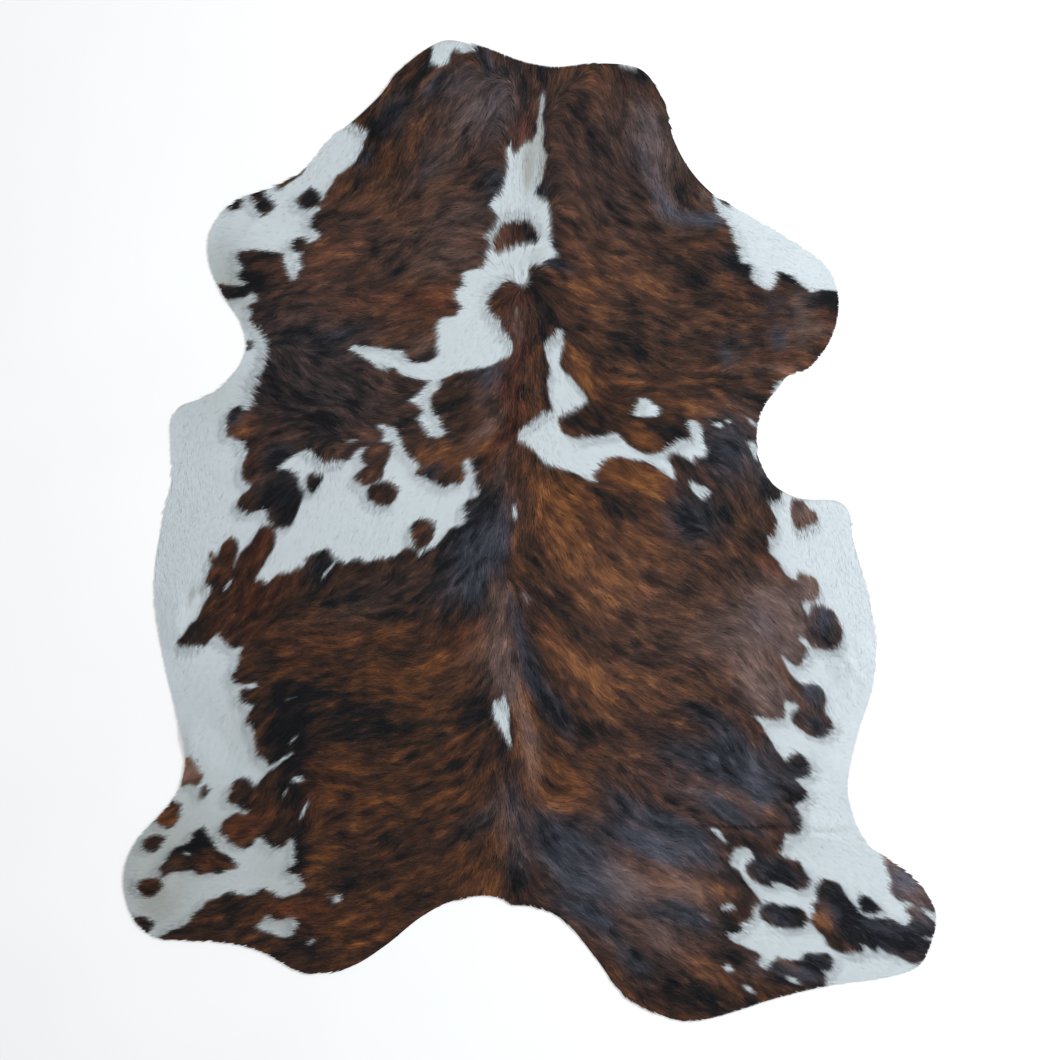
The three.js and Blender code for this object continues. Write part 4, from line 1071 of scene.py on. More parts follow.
OVERTONES = {
    "russet": [
        (-35, 520, 50, 30, .8), (-30, 440, 60, 22, .6), (-45, 365, 60, 25, 1), (-45, 290, 60, 22, 1),
        (-45, 220, 50, 22, .8), (-40, 150, 50, 22, .5), (-45, 660, 40, 22, .8), (-15, 900, 35, 22, 1.2),
        (0, 1010, 25, 10, .7), (-20, 70, 40, 14, .4), (-630, -60, 80, 30, .45), (-590, -20, 50, 25, .4),
        (-640, -190, 70, 40, .35), (-600, -150, 60, 30, .35), (-650, -665, 30, 20, .8),
        (-590, -640, 25, 20, .4), (-550, -850, 50, 18, .6), (-470, -860, 60, 30, .35),
        (-460, -570, 60, 50, .35), (540, -75, 35, 28, .8), (620, -200, 16, 18, .6), (660, 470, 25, 30, .6),
        (-720, -740, 30, 14, .6), (-330, 510, 120, 22, .5), (-200, 515, 40, 25, .6), (-460, 610, 70, 28, .5),
        (-160, 640, 25, 20, .5), (-500, -240, 80, 30, .3), (-130, -230, 50, 20, .4), (60, -240, 50, 16, .4),
    ],
    # partly the coat's own rosy tone, partly painted sheen along the right neck wave and over the rump
    "rosy": [
        (-75, -170, 40, 22, .6), (-65, -240, 50, 26, .5), (-70, -300, 50, 40, .5), (-130, -270, 50, 16, .2),
        (-50, -350, 45, 25, .9), (-5, -440, 60, 16, .6), (0, -520, 60, 16, .5), (560, -170, 60, 45, .9),
        (540, -230, 60, 40, .7), (600, -220, 20, 20, .5), (510, -330, 60, 45, .75), (560, -380, 40, 25, .9),
        (520, -390, 40, 20, .8), (470, -250, 50, 40, .35), (590, -280, 25, 20, .8), (625, -130, 18, 20, 1.2),
        (614, 34, 30, 30, .9), (-150, 960, 80, 50, .45), (-80, 950, 60, 40, .55), (-180, 850, 80, 40, .35),
        (-140, 925, 30, 16, .5), (-130, 700, 80, 50, .35), (-180, 600, 80, 30, .3), (-240, 410, 30, 25, .4),
        (-30, 450, 40, 18, .5), (270, 900, 40, 35, .7), (257, 885, 60, 25, .7), (280, 790, 50, 20, .9),
        (324, 705, 40, 18, .6), (330, 830, 20, 25, .5), (300, 720, 30, 18, .5), (350, 690, 40, 14, .6),
        (390, 745, 20, 14, .6), (640, 450, 50, 20, .5), (560, 360, 40, 12, .4), (600, 500, 40, 25, .4),
        (-95, 230, 50, 16, .6), (-100, 290, 25, 20, .6), (-70, 110, 60, 14, .5), (200, -780, 60, 35, .9),
        (230, -830, 40, 30, .6), (360, -800, 60, 24, .5), (300, -910, 50, 35, .6), (190, -920, 40, 18, .5),
        (100, -780, 100, 9, .8), (540, -970, 40, 14, .5), (500, -980, 30, 20, .5), (370, -590, 60, 18, .6),
        (-350, -150, 120, 40, .3), (-60, -620, 50, 25, .4), (-40, -680, 60, 20, .4),
        (450, -200, 50, 60, .25), (400, -250, 60, 40, .25), (-770, -545, 30, 30, .8),
        (-200, 650, 90, 60, .2), (170, 820, 220, 180, .2), (330, 430, 280, 130, .15),
        (300, -220, 260, 220, .25), (-380, 650, 160, 140, .2), (250, -850, 200, 130, .2),
        (-480, 340, 200, 120, .3), (560, -200, 60, 60, .4), (830, -775, 50, 34, .2), (265, 830, 70, 24, .4),
    ],
    # painted reflection: a bluish sheen on dark hair over the rump, the back and along the folds
    "slate": [
        (-120, 20, 60, 40, .8), (-130, -40, 60, 40, .9), (-100, -60, 50, 30, .7), (-170, -120, 60, 30, .6),
        (-125, -140, 35, 22, 1.2), (-60, -30, 70, 14, .6), (-30, -200, 60, 14, .6), (0, -300, 60, 16, .8),
        (30, -370, 60, 16, .8), (70, -420, 50, 16, .6), (370, 30, 45, 45, .6), (440, 200, 50, 60, .5),
        (450, 150, 60, 40, .5), (530, 130, 40, 25, .5), (440, 395, 16, 30, .7), (560, 430, 20, 25, .8),
        (545, 510, 20, 25, .5), (-90, 350, 35, 30, .8), (-230, 125, 22, 14, .6), (-560, 170, 30, 20, .6),
        (-665, 250, 25, 14, .6), (-470, -80, 30, 18, .5), (-430, 430, 50, 14, .4), (-480, 430, 50, 14, .3),
        (-75, 770, 22, 30, 1), (-100, 1060, 40, 14, .7), (-220, 990, 35, 14, .7), (-310, 930, 40, 25, .6),
        (-370, 830, 16, 14, .7), (-80, 950, 70, 45, .5), (-160, 1000, 40, 25, .5), (-230, 800, 50, 20, .3),
        (270, 900, 45, 30, .3), (250, 830, 30, 25, .4), (280, 760, 40, 14, .5), (310, 720, 30, 12, .6),
        (360, 695, 45, 12, .9), (410, 695, 25, 12, 1), (240, 1025, 20, 10, .7), (20, 760, 14, 14, .8),
        (60, 595, 30, 10, .8), (470, 600, 35, 20, .6), (655, 520, 30, 14, .5), (580, 580, 20, 12, .6),
        (520, -210, 40, 20, .4), (660, -200, 25, 25, 1), (660, -240, 25, 20, .5), (640, -360, 30, 28, 1.2),
        (645, -440, 28, 18, .8), (390, -415, 35, 16, .6), (450, -480, 50, 30, .9), (480, -540, 60, 35, 1),
        (530, -590, 30, 40, .7), (400, -520, 50, 30, .6), (540, -500, 30, 30, .5), (330, -500, 40, 25, .5),
        (600, -550, 30, 30, .9), (430, -620, 40, 20, .7), (470, -650, 60, 14, .6), (210, -620, 50, 22, .7),
        (290, -650, 50, 18, .7), (50, -680, 60, 30, .7), (130, -720, 70, 35, .9), (60, -740, 60, 25, .8),
        (230, -690, 80, 25, .8), (350, -680, 60, 25, .9), (300, -720, 60, 20, .9), (380, -720, 60, 20, .8),
        (140, -800, 60, 25, .8), (110, -850, 60, 25, .8), (170, -880, 40, 18, .6), (360, -860, 60, 20, .8),
        (300, -860, 50, 14, .5), (240, -970, 40, 20, .9), (550, -770, 50, 24, .6), (560, -865, 40, 16, .3),
        (640, -970, 40, 25, 1.2), (560, -985, 40, 16, .8), (620, -1000, 30, 12, .6), (700, -830, 35, 30, .6),
        (760, -900, 70, 30, .5), (600, -640, 25, 30, .4), (840, -785, 60, 45, 1), (890, -870, 30, 25, .6),
        (-6, -155, 13, 7, 1), (-20, -750, 40, 25, .4), (-110, -650, 50, 20, .4), (-30, -630, 60, 20, .4),
        (170, 820, 220, 180, .15), (250, -850, 200, 130, .2), (380, -580, 200, 90, .25),
        (-480, 350, 190, 130, .3), (560, -865, 50, 20, .7), (550, -770, 55, 26, .5), (725, -850, 40, 44, .6),
        (770, -910, 90, 30, .5), (850, -905, 60, 30, .9), (760, -835, 25, 18, .9), (370, 25, 50, 42, .3),
        (-555, 70, 45, 60, .5), (470, 210, 60, 60, .2),
    ],
    # grey on white hair in places; coat_facts adds the painted shade over the troughs to it
    "dingy": [
        (-760, -720, 190, 190, .45), (-850, -700, 110, 110, .35), (-840, -850, 60, 60, .6),
        (-560, -870, 60, 40, .7), (30, 880, 110, 40, .9), (-5, 810, 45, 9, .9), (-680, 540, 50, 60, .8),
        (-700, 300, 80, 60, .3), (-560, -760, 50, 50, .4), (-757, -148, 20, 6, 1), (-734, -132, 10, 6, .9),
        (20, 620, 30, 12, .4), (-700, 620, 50, 40, .3), (-740, -400, 80, 60, .15), (-620, -450, 60, 60, .3),
    ],
}
print("strokes:", len(TAN), "tan,", len(DARKEN), "dark and", list(OVERTONES))

# %% The strokes on their charts
STROKE_SPREAD = 1.15  # how far a stroke's soft edge goes beyond its sizes


def brushed(strokes):
    """A chart of the strokes' strengths, each laid along the hair at its middle."""
    px, py = chart_axes(BROAD_CELL)
    total = np.zeros(px.shape)
    for x, y, half_length, half_width, strength in strokes:
        east, north = px - x * MM, py - y * MM
        middle = np.array([x * MM]), np.array([y * MM])
        turn = np.arctan2(look_up(comb_y, *middle), look_up(comb_x, *middle))[0]
        along = (east * math.cos(turn) + north * math.sin(turn)) / (half_length * MM)
        across = (north * math.cos(turn) - east * math.sin(turn)) / (half_width * MM)
        total += strength * np.exp(-(along ** 2 + across ** 2) / STROKE_SPREAD ** 2)
    return total


TAN_BASE = 0.43  # the place on the colour ramp where no stroke lies
TAN_LIFT, DARK_DROP = 0.29, 0.36  # what a stroke of full strength adds or takes
tan_chart = TAN_BASE + 0.05 * mottles + 0.04 * broad_streaks + 0.09 * thin_streaks
tan_chart += TAN_LIFT * brushed(TAN) - DARK_DROP * brushed(DARKEN)
tan_chart = np.clip(tan_chart, 0, 1)
overtones = {tone: np.clip(brushed(rows), 0, 1) for tone, rows in OVERTONES.items()}
print("mean tan:", round(float(tan_chart.mean()), 3))

# %% [markdown]
# ## Tufts
# The coat is short and lies down flat, so a tuft is a thin leaf, some 2 mm wide and
# 24 mm long: two narrow triangles from the root to the widest place and one from
# there to the tip. Particle hair would be finer, but it can't be exported as a mesh.
# Each tuft takes its direction from the comb. Its colour is read a little way down
# the hair, where its tip lies on top of the others, and that alone gives the patches
# their ragged, hairy borders.

# %% A tuft's facts
EDGE_SLACK = 0.5 * MM  # how far past the full outline a tip may reach
ROOT_LIFT = 0.3 * MM  # keeps the roots clear of the skin's flat faces
READ_AT = 0.7  # share of the tuft's length at which its colour is read
TIP_KEEPS = 0.55  # share of its own white or dark that a tip keeps past a border
RAGGED = 2.0 * MM  # how far the borders wander along the hair
TURN_SPREAD, ROLL_SPREAD = 7, 12  # degrees
LENGTH_SPREAD, WIDTH_SPREAD, STAND_SPREAD, CURL_SPREAD = 0.16, 0.2, 0.25, 0.06
WHITE_SLEEK = 0.78  # share by which white hair lies closer to the skin
BORDER_FINE = 1.4  # tufts are narrower at a border, by 0.35 at most

# How much of each tuft's colour is chance, and how much follows the strands.
WHITE_NOISE = 0.10
TAN_NOISE, TAN_STRAND = 0.045, 0.04
SHADE_NOISE, SHADE_STRAND = 0.09, 0.08
WHITE_CALM = 0.8  # white hair has that much less of the last two
CREASE_SHADE_GREY, CREASE_SHADE_DARK = 0.35, 0.6  # painted shade over a trough: grey on white hair, darker on any hair

# Where each of a tuft's five corners lies: share of its length, of its half width and
# of its height over the skin.
LEAF = [(0.0, -0.6, 0.0), (0.0, 0.6, 0.0), (0.5, 1.0, 0.8), (0.5, -1.0, 0.8), (1.0, 0.0, 1.0)]


def steady(random, count, spread, limit=2.0):
    """Bell-shaped noise without its far tails."""
    return np.clip(random.standard_normal(count), -limit, limit) * spread


def coat_facts(random, x, y, count):
    """What the charts say of a tuft's colour at points x, y."""
    white = look_up(white_chart, x, y) + steady(random, count, WHITE_NOISE)
    white = ramp(white, 0.22, 0.78)
    tan = look_up(tan_chart, x, y, BROAD_CELL) + steady(random, count, TAN_NOISE)
    strand = look_up(strands, x, y)
    facts = {"white": white, "tan": np.clip(tan + TAN_STRAND * strand, 0, 1)}
    for tone, chart in overtones.items():
        facts[tone] = look_up(chart, x, y, BROAD_CELL)
    # Painted shade over the troughs: it greys white hair here and darkens all hair through the shade fact
    # below.
    hollow = look_up(crease_shade_chart, x, y, FOLD_CELL)
    facts["dingy"] += CREASE_SHADE_GREY * hollow
    stray = steady(random, count, SHADE_NOISE) + SHADE_STRAND * strand
    stray = np.exp((1 - WHITE_CALM * white) * stray)
    facts["shade"] = stray * (1 - CREASE_SHADE_DARK * hollow)
    facts["pick"] = random.random(count)
    return facts


print("a leaf:", len(LEAF), "corners")

# %% [markdown]
# A layer starts from evenly scattered roots. Each tuft turns with the comb, is trimmed
# where it would stick out past the edge, and follows the folds of the skin. White hair
# lies flatter than dark hair, and where the two meet the tufts are narrower.

# %% One layer of tufts
def trimmed(reach, roots, ahead):
    """The tufts' lengths, shorter where a tip would stick out past the edge."""
    at_root = look_up(edge_distance, *roots.T, WIDE_CELL)
    tip = roots + ahead * reach[:, None]
    at_tip = look_up(edge_distance, *tip.T, WIDE_CELL)
    room = (at_root + EDGE_SLACK) / np.maximum(at_root - at_tip, 1e-6)
    return reach * np.where(at_tip < -EDGE_SLACK, np.clip(room, 0.1, 1), 1)


def lay_coat(name, spacing, length, width, stand, seed):
    """One layer of tufts over the whole hide, as one mesh."""
    random = np.random.default_rng(seed)
    roots = net_points(spacing, HAIR_OVERHANG + 0.5 * MM)
    roots += random.uniform(-0.5, 0.5, roots.shape) * spacing
    roots = roots[look_up(edge_distance, *roots.T, WIDE_CELL) > HAIR_OVERHANG]
    x, y = roots.T
    count = len(x)

    turn = np.arctan2(look_up(comb_y, x, y), look_up(comb_x, x, y))
    turn += np.radians(steady(random, count, TURN_SPREAD))
    ahead = np.column_stack([np.cos(turn), np.sin(turn)])
    side = np.column_stack([-ahead[:, 1], ahead[:, 0]])
    reach = length * (1 + steady(random, count, LENGTH_SPREAD))
    reach = trimmed(reach, roots, ahead)

    around = look_up(near_white, x, y)
    sleek = 1 - WHITE_SLEEK * ramp(around, 0.4, 0.8)
    fine = 1 - BORDER_FINE * around * (1 - around)
    half = width / 2 * fine * (1 + steady(random, count, WIDTH_SPREAD))
    rise = stand * sleek * (1 + steady(random, count, STAND_SPREAD))
    curl = steady(random, count, CURL_SPREAD)
    roll = np.radians(steady(random, count, ROLL_SPREAD)) * sleek ** 2
    corners = np.zeros((count, len(LEAF), 3))
    for i, (along, across, up) in enumerate(LEAF):
        off = half * across * np.cos(roll) + reach * curl * along ** 2
        place = roots + ahead * (reach * along)[:, None] + side * off[:, None]
        ground = look_up(lift_chart, *place.T, FOLD_CELL) + SKIN + ROOT_LIFT
        corners[:, i, :2] = place
        corners[:, i, 2] = ground + rise * up + half * across * np.sin(roll)

    read = roots + ahead * (reach * READ_AT)[:, None]
    ragged = RAGGED * look_up(strands, x, y) + steady(random, count, RAGGED * 0.5)
    read += ahead * ragged[:, None]
    facts = coat_facts(random, *read.T, count)
    under = ramp(look_up(white_chart, corners[..., 0], corners[..., 1]), 0.15, 0.85)
    white = TIP_KEEPS * facts["white"][:, None] + (1 - TIP_KEEPS) * under
    facts["white"] = white ** 1.3
    facts["slope_x"] = look_up(slope_x, x, y, FOLD_CELL)
    facts["slope_y"] = look_up(slope_y, x, y, FOLD_CELL)
    return coat_mesh(name, corners, facts)

# %% [markdown]
# A mesh of so many corners is filled from flat arrays, since face by face would take
# minutes. Each fact becomes a named attribute, which the material reads, and each leaf
# gets a small square of its own on the map that the export bakes to.

# %% A layer's mesh
LEAF_LOOPS = 7  # a leaf's quad has four loops and its triangle three
LEAF_INSET = 0.08  # keeps each leaf clear of its neighbours on the map


def coat_mesh(name, corners, facts):
    """The tufts' corners as one mesh, with the facts of each as named attributes."""
    count = len(corners)
    first = np.arange(count)[:, None] * len(LEAF)
    loops = np.hstack([first + [0, 1, 2, 3], first + [3, 2, 4]])
    starts = (np.arange(count)[:, None] * LEAF_LOOPS + [0, 4]).ravel()
    mesh = bpy.data.meshes.new(name)
    mesh.vertices.add(count * len(LEAF))
    mesh.vertices.foreach_set("co", corners.astype(np.float32).ravel())
    mesh.loops.add(loops.size)
    mesh.loops.foreach_set("vertex_index", loops.ravel())
    mesh.polygons.add(2 * count)
    mesh.polygons.foreach_set("loop_start", starts)
    mesh.update(calc_edges=True)

    leaf = np.array(LEAF)
    for fact, values in facts.items():
        facts[fact] = np.broadcast_to(values.reshape(count, -1), (count, len(LEAF))).ravel()
    facts["along"] = np.tile(leaf[:, 0], count)
    facts["across"] = np.tile(leaf[:, 1] / 2 + 0.5, count)
    for fact, values in facts.items():
        attribute = mesh.attributes.new(fact, "FLOAT", "POINT")
        attribute.data.foreach_set("value", values.astype(np.float32))

    grid = math.ceil(math.sqrt(count))
    cell = np.column_stack([np.arange(count) % grid, np.arange(count) // grid])
    inside = np.column_stack([leaf[:, 1] / 2 + 0.5, leaf[:, 0]])
    inside = inside * (1 - 2 * LEAF_INSET) + LEAF_INSET
    uv = ((cell[:, None] + inside) / grid).reshape(-1, 2)[loops.ravel()]
    layer = mesh.uv_layers.new(name="OFBake")
    layer.data.foreach_set("uv", uv.astype(np.float32).ravel())
    piece = bpy.data.objects.new(name, mesh)
    bpy.context.scene.collection.objects.link(piece)
    print(name, count, "tufts,", 3 * count, "triangles")
    return piece

# %% The five layers
COATS = [
    # name, length, width, height of the tips (mm)
    ("undercoat", 21, 4.2, 1.2),
    ("lower_coat", 23, 3.2, 1.7),
    ("middle_coat", 24, 2.6, 2.2),
    ("upper_coat", 25, 2.1, 2.6),
    ("guard_hair", 26, 1.8, 3.0),
]
ROOT_SPACING = 7.55 * MM
coats = [
    lay_coat(name, ROOT_SPACING, length * MM, width * MM, stand * MM, seed)
    for seed, (name, length, width, stand) in enumerate(COATS, start=11)
]

# %% [markdown]
# ## Writing shader maths
# A material is a graph of small nodes, and even a simple sum takes several lines to
# wire up. The class below wraps an output socket, so that a formula in Python adds the
# Math nodes by itself. Every other node comes from one method, which takes the node's
# type, its settings and what goes into its sockets.

# %% Shader helper
class Wire:
    """An output socket that Python's operators build on."""

    def __init__(self, tree, socket):
        self.tree = tree
        self.socket = socket

    def node(self, kind, settings, inputs, output=0):
        """Adds a node: settings first, then values or wires for its sockets."""
        made = self.tree.nodes.new(kind)
        for setting, value in settings.items():
            if setting == "stops":
                fill_stops(made.color_ramp, value)
            else:
                setattr(made, setting, value)
        for socket, value in inputs.items():
            if isinstance(value, Wire):
                self.tree.links.new(value.socket, made.inputs[socket])
            else:
                made.inputs[socket].default_value = value
        return Wire(self.tree, made.outputs[output])

    def maths(self, operation, first, second):
        return self.node("ShaderNodeMath", {"operation": operation}, {0: first, 1: second})

    def __add__(self, other):
        return self.maths("ADD", self, other)

    def __radd__(self, other):
        return self.maths("ADD", other, self)

    def __sub__(self, other):
        return self.maths("SUBTRACT", self, other)

    def __rsub__(self, other):
        return self.maths("SUBTRACT", other, self)

    def __mul__(self, other):
        return self.maths("MULTIPLY", self, other)

    def __rmul__(self, other):
        return self.maths("MULTIPLY", other, self)

    def attribute(self, name):
        """A fact that the mesh carries, as a number."""
        return self.node("ShaderNodeAttribute", {"attribute_name": name}, {}, "Fac")

    def ramp(self, stops):
        """A colour for this number, from stops of (place, colour)."""
        return self.node("ShaderNodeValToRGB", {"stops": stops}, {0: self})

    def blend(self, other, share):
        """This colour turning into another as share goes from 0 to 1."""
        mix = {"data_type": "RGBA", "clamp_factor": True}
        return self.node("ShaderNodeMix", mix, {0: share, 6: self, 7: other}, 2)

    def scaled(self, number):
        """This colour or vector made brighter or longer by a number."""
        return self.node("ShaderNodeVectorMath", {"operation": "SCALE"}, {0: self, 3: number})

    def noise(self, place, scale, detail=2.0, rough=0.5):
        """Soft noise between 0 and 1 at a place."""
        sockets = {"Vector": place, "Scale": scale, "Detail": detail, "Roughness": rough}
        return self.node("ShaderNodeTexNoise", {}, sockets, "Fac")

    def vector(self, x, y, z):
        """A vector of three numbers."""
        return self.node("ShaderNodeCombineXYZ", {}, {0: x, 1: y, 2: z})

    def along_with(self, other, share):
        """This direction leaning towards another one by a share."""
        parts = {0: self.scaled(1 - share), 1: other.scaled(share)}
        total = self.node("ShaderNodeVectorMath", {"operation": "ADD"}, parts)
        return self.node("ShaderNodeVectorMath", {"operation": "NORMALIZE"}, {0: total})

    def bump(self, strength, distance):
        """A normal bent by this height."""
        sockets = {"Strength": strength, "Distance": distance, "Height": self}
        return self.node("ShaderNodeBump", {}, sockets)

# %% Colours and materials
def fill_stops(ramp_data, stops):
    """Sets a colour ramp's stops."""
    while len(ramp_data.elements) < len(stops):
        ramp_data.elements.new(0.5)
    for element, (place, tint) in zip(ramp_data.elements, stops):
        element.position = place
        element.color = tint


def colour(red, green, blue):
    """A colour as a shader wants it, from the 0 to 255 values of a screen."""
    def linear(value):
        value /= 255
        return value / 12.92 if value <= 0.04045 else ((value + 0.055) / 1.055) ** 2.4

    return (linear(red), linear(green), linear(blue), 1.0)


def new_material(name, **sockets):
    """A material with its Principled shader, and a first wire to build on."""
    material = bpy.data.materials.new(name)
    material.use_nodes = True
    tree = material.node_tree
    shader = tree.nodes["Principled BSDF"]
    for socket, value in sockets.items():
        shader.inputs[socket.replace("_", " ")].default_value = value
    place = tree.nodes.new("ShaderNodeTexCoord")
    return material, shader, Wire(tree, place.outputs["Object"])


def feed(shader, socket, wire):
    """Links a wire to one of the shader's sockets."""
    wire.tree.links.new(wire.socket, shader.inputs[socket])

# %% [markdown]
# ## The hair's finish
# Cow hair is coarse and glossy. Its colour is one ramp from blue-black over brown to
# orange tan, and the tufts' own facts choose the place on it. Red-brown, a rosy tone
# that is partly painted sheen, and a bluish painted sheen are laid over that, and white
# hair hides them all. Each tuft has painted shade at its root, where the tips of others
# lie over it, and fine strands run along it, both in its colour and as a low bump, so
# that a tuft reads as a lick of hairs and not as a leaf. Flat leaves catch the light one
# by one, which sparkles too much. So each tuft is lit partly as the skin under it would
# be: its slope comes along as two facts and makes a second normal.

# %% The hair's colours
BRINDLE = [
    (0.00, colour(20, 22, 27)),
    (0.18, colour(38, 32, 31)),
    (0.45, colour(75, 50, 38)),
    (0.72, colour(114, 70, 43)),
    (1.00, colour(160, 102, 54)),
]
TINTS = [
    # the tuft's fact, the hair's colour where it is neither light nor dark, the most of it
    ("russet", colour(92, 49, 35), 0.8),
    # The rosy tint is partly the coat's own tone and partly painted sheen; the bluish tint after it is a
    # painted reflection on dark hair.
    ("rosy", colour(110, 91, 87), 0.9),
    ("slate", colour(74, 78, 90), 0.9),
]
WHITE_HAIR = colour(230, 239, 243)
# the grey for white hair, used for greyer hair and for the painted shade over troughs
GREY_AND_SHADE_HAIR = colour(187, 190, 185)
STRANDS_ACROSS, STRANDS_ALONG = 7.0, 1.5  # strands over a tuft's width and length
STRAND_DEPTH = 0.25 * MM
PICK_SPREAD = 90.0  # puts each tuft's strands in a place of their own in the noise
print("tints:", [name for name, tint, most in TINTS])

# %% The hair's material
def dark_hair(place, tan, along, strand):
    """Brindle hair with its overtones, and painted shade at the root."""
    dark = (tan + (strand - 0.5) * 0.22).ramp(BRINDLE)
    lightness = 0.15 + 1.9 * tan
    for name, tint, most in TINTS:
        scale = {0: tint[:3], 3: lightness}
        tint = place.node("ShaderNodeVectorMath", {"operation": "SCALE"}, scale)
        dark = dark.blend(tint, place.attribute(name) * most)
    # painted shade: each tuft darker towards its root, which lies under other tufts' tips
    depth = 0.76 + 0.3 * along
    return dark.scaled(place.attribute("shade") * depth * (0.8 + 0.4 * strand))


def white_hair(place, along, strand):
    """White hair, greyer in places, with painted shade over troughs and at its root."""
    mix = {0: place.attribute("dingy"), 6: WHITE_HAIR, 7: GREY_AND_SHADE_HAIR}
    light = place.node("ShaderNodeMix", {"data_type": "RGBA"}, mix, 2)
    # painted shade: a little darker towards the root
    return light.scaled(0.94 + 0.04 * along + 0.02 * strand)


def skin_normal(place):
    """The direction that the skin under the tuft faces, from its slopes."""
    uphill = place.vector(place.attribute("slope_x") * -1.0, place.attribute("slope_y") * -1.0, 1.0)
    turned = {"vector_type": "NORMAL", "convert_from": "OBJECT", "convert_to": "WORLD"}
    return place.node("ShaderNodeVectorTransform", turned, {0: uphill})


def hair_material():
    material, shader, place = new_material(
        "cow_hair", Specular_IOR_Level=0.15, Sheen_Weight=0.04, Sheen_Roughness=0.4
    )
    white, tan = place.attribute("white"), place.attribute("tan")
    along, across = place.attribute("along"), place.attribute("across")
    own_place = place.attribute("pick") * PICK_SPREAD
    lengthwise = place.vector(across * STRANDS_ACROSS, along * STRANDS_ALONG, own_place)
    strand = place.noise(lengthwise, 1.0)

    dark = dark_hair(place, tan, along, strand)
    light = white_hair(place, along, strand)
    feed(shader, "Base Color", dark.blend(light, white))
    feed(shader, "Roughness", 0.42 + 0.16 * white + 0.12 * strand)
    round_back = across * (1 - across) * 3.0
    relief = (round_back + strand * 0.6) * (1 - 0.75 * white)
    leaf_normal = relief.bump(0.4, STRAND_DEPTH)
    feed(shader, "Normal", leaf_normal.along_with(skin_normal(place), 0.35 + 0.5 * white))
    return material


cow_hair = hair_material()
for coat in coats:
    coat.data.materials.append(cow_hair)
print("hair nodes:", len(cow_hair.node_tree.nodes))

# %% [markdown]
# ## The skin's finishes
# Under the hair the skin is pale where the hair is white and dark where it is dark. It
# shows only as a hint between the tufts, so a coarse mark on the sheet's own corners
# is enough. The underside is suede, tan-grey and fibrous, and the cut edge is
# paler and smoother. Noise on several scales gives the suede its cloudy look, and a
# fine bump its nap.

# %% The skin's materials
def hair_side_material():
    material, shader, place = new_material("skin_under_hair", Specular_IOR_Level=0.2)
    pores = place.noise(place, 900.0)
    pale_stops = [(0.3, colour(206, 208, 208)), (0.7, colour(220, 223, 224))]
    dark_stops = [(0.3, colour(34, 28, 27)), (0.7, colour(56, 44, 38))]
    pale = place.noise(place, 30.0, 3.0).ramp(pale_stops)
    dark = place.noise(place, 40.0, 3.0).ramp(dark_stops)
    feed(shader, "Base Color", dark.blend(pale, place.attribute("white")))
    feed(shader, "Roughness", 0.65 + 0.15 * pores)
    feed(shader, "Normal", pores.bump(0.4, 0.2 * MM))
    return material


def suede_material():
    material, shader, place = new_material(
        "suede_underside", Specular_IOR_Level=0.15, Sheen_Weight=0.2
    )
    cloud = place.noise(place, 6.0, 6.0, 0.6)
    veins = place.noise(place, 22.0, 4.0, 0.65)
    nap = place.noise(place, 420.0, 3.0, 0.7)
    tone = cloud * 0.6 + veins * 0.25 + nap * 0.15
    stops = [
        (0.3, colour(150, 138, 126)),
        (0.5, colour(176, 164, 150)),
        (0.7, colour(196, 187, 174)),
    ]
    feed(shader, "Base Color", tone.ramp(stops))
    feed(shader, "Roughness", 0.82 + 0.12 * nap)
    feed(shader, "Normal", (nap + veins * 1.5).bump(0.5, 0.5 * MM))
    return material


def edge_material():
    material, shader, place = new_material("cut_edge", Specular_IOR_Level=0.25)
    fibre = place.noise(place, 700.0, 4.0, 0.6)
    stops = [(0.3, colour(128, 112, 98)), (0.7, colour(176, 160, 144))]
    feed(shader, "Base Color", fibre.ramp(stops))
    feed(shader, "Roughness", 0.7 + 0.2 * fibre)
    feed(shader, "Normal", fibre.bump(0.4, 0.2 * MM))
    return material

# %% The finishes on the sheet
for material in (hair_side_material(), suede_material(), edge_material()):
    skin.data.materials.append(material)

under_hair = look_up(near_white, *np.array(skin_vertices)[:, :2].T)
mark = skin.data.attributes.new("white", "FLOAT", "POINT")
mark.data.foreach_set("value", ramp(under_hair, 0.3, 0.7).astype(np.float32))
print("skin materials:", [m.name for m in skin.data.materials])

# %% [markdown]
# ## The skin's own map
# When the finishes are baked for export, each face needs its own place on the map.
# The sheet is flat, so the plan itself serves: the hair side fills the left half, the
# suede the right half and the thin rim a strip along the bottom.

# %% The skin's map
RIM_STRIP = 0.02  # height of the rim's strip, as a share of the map
SIDE_WIDTH, SIDE_HEIGHT = 0.49, 0.96
SIDE_LEFT = (0.005, 0.505)  # where the hair side and the suede start


def lay_skin_map(sheet, sides, rim_faces):
    """Plan view of the hair side and the suede, side by side over the rim's strip."""
    layer = sheet.data.uv_layers.new(name="OFBake")
    flat = (np.array(skin_vertices)[:, :2] - np.array(hide_low[:2])) / np.array(hide_size[:2])
    rim_face = 0
    for face, side in zip(sheet.data.polygons, sides):
        for corner, loop in enumerate(face.loop_indices):
            if side == 2:
                u = (rim_face + (corner in (1, 2))) / rim_faces
                v = RIM_STRIP * (0.1 if corner in (2, 3) else 0.7)
            else:
                u, v = flat[face.vertices[corner]]
                u = u * SIDE_WIDTH + SIDE_LEFT[side]
                v = v * SIDE_HEIGHT + RIM_STRIP * 1.5
            layer.data[loop].uv = (u, v)
        rim_face += side == 2


lay_skin_map(skin, skin_sides, len(cut_edge))
print("skin map:", skin.data.uv_layers[0].name)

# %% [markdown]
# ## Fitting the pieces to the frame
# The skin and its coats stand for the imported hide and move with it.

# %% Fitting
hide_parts("hide")
for piece in [skin, *coats]:
    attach(piece, "root")

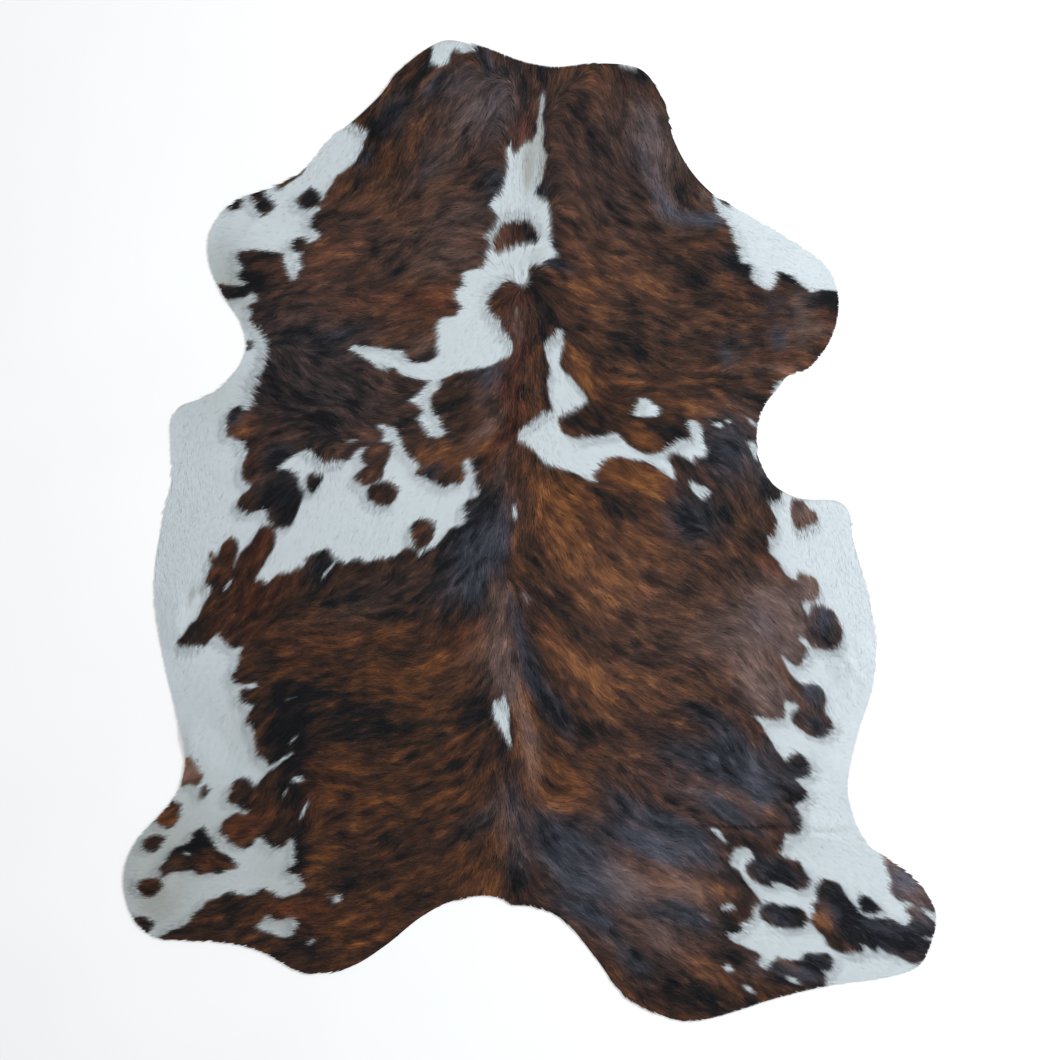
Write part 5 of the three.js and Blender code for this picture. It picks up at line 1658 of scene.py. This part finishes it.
# %% [markdown]
# ## Floor and light
# The floor is plain and pale. One large soft lamp stands on the right, cool like a
# window, and the room's even light fills the rest, so the folds get a light and a dark
# side while the coat's own colours stay true. The floor glows a little, or its far
# side would be as grey as the white hair on it. The view transform is plain, because
# a filmic one greys the whites.

# %% Floor, light and view
FLOOR_GLOW = 0.3
FLOOR_DROP = 0.3 * MM  # keeps the floor's face clear of the suede
FLOOR_HALF = 6.0
WINDOW_PLACE, WINDOW_SIZE, WINDOW_WATTS = (2.9, 0.9, 3.2), 1.8, 131
WINDOW_TINT = (0.93, 0.98, 1.0)
ROOM_TINT, ROOM_STRENGTH = (0.97, 0.98, 1.0, 1.0), 0.4


def make_floor(half_size):
    quarters = [(-1, -1), (1, -1), (1, 1), (-1, 1)]
    corners = [(half_size * x, half_size * y, -FLOOR_DROP) for x, y in quarters]
    floor = new_piece("floor", corners, [(0, 1, 2, 3)])
    material, shader, place = new_material("floor_paint", Roughness=0.9, Specular_IOR_Level=0.1)
    stops = [(0.3, colour(247, 247, 247)), (0.7, colour(250, 250, 250))]
    feed(shader, "Base Color", place.noise(place, 3.0).ramp(stops))
    shader.inputs["Emission Color"].default_value = (1.0, 1.0, 1.0, 1.0)
    shader.inputs["Emission Strength"].default_value = FLOOR_GLOW
    floor.data.materials.append(material)


def make_lamp(name, place, aim, size, watts, tint):
    data = bpy.data.lights.new(name, "AREA")
    data.shape = "SQUARE"
    data.size = size
    data.energy = watts
    data.color = tint
    lamp = bpy.data.objects.new(name, data)
    lamp.location = place
    lamp.rotation_euler = (Vector(aim) - Vector(place)).to_track_quat("-Z", "Y").to_euler()
    bpy.context.scene.collection.objects.link(lamp)


make_floor(FLOOR_HALF)
make_lamp("window", WINDOW_PLACE, (0.0, 0.0, 0.0), WINDOW_SIZE, WINDOW_WATTS, WINDOW_TINT)

world = bpy.data.worlds.new("room")
world.use_nodes = True
background = world.node_tree.nodes["Background"]
background.inputs["Color"].default_value = ROOM_TINT
background.inputs["Strength"].default_value = ROOM_STRENGTH
bpy.context.scene.world = world
bpy.context.scene.view_settings.view_transform = "Standard"
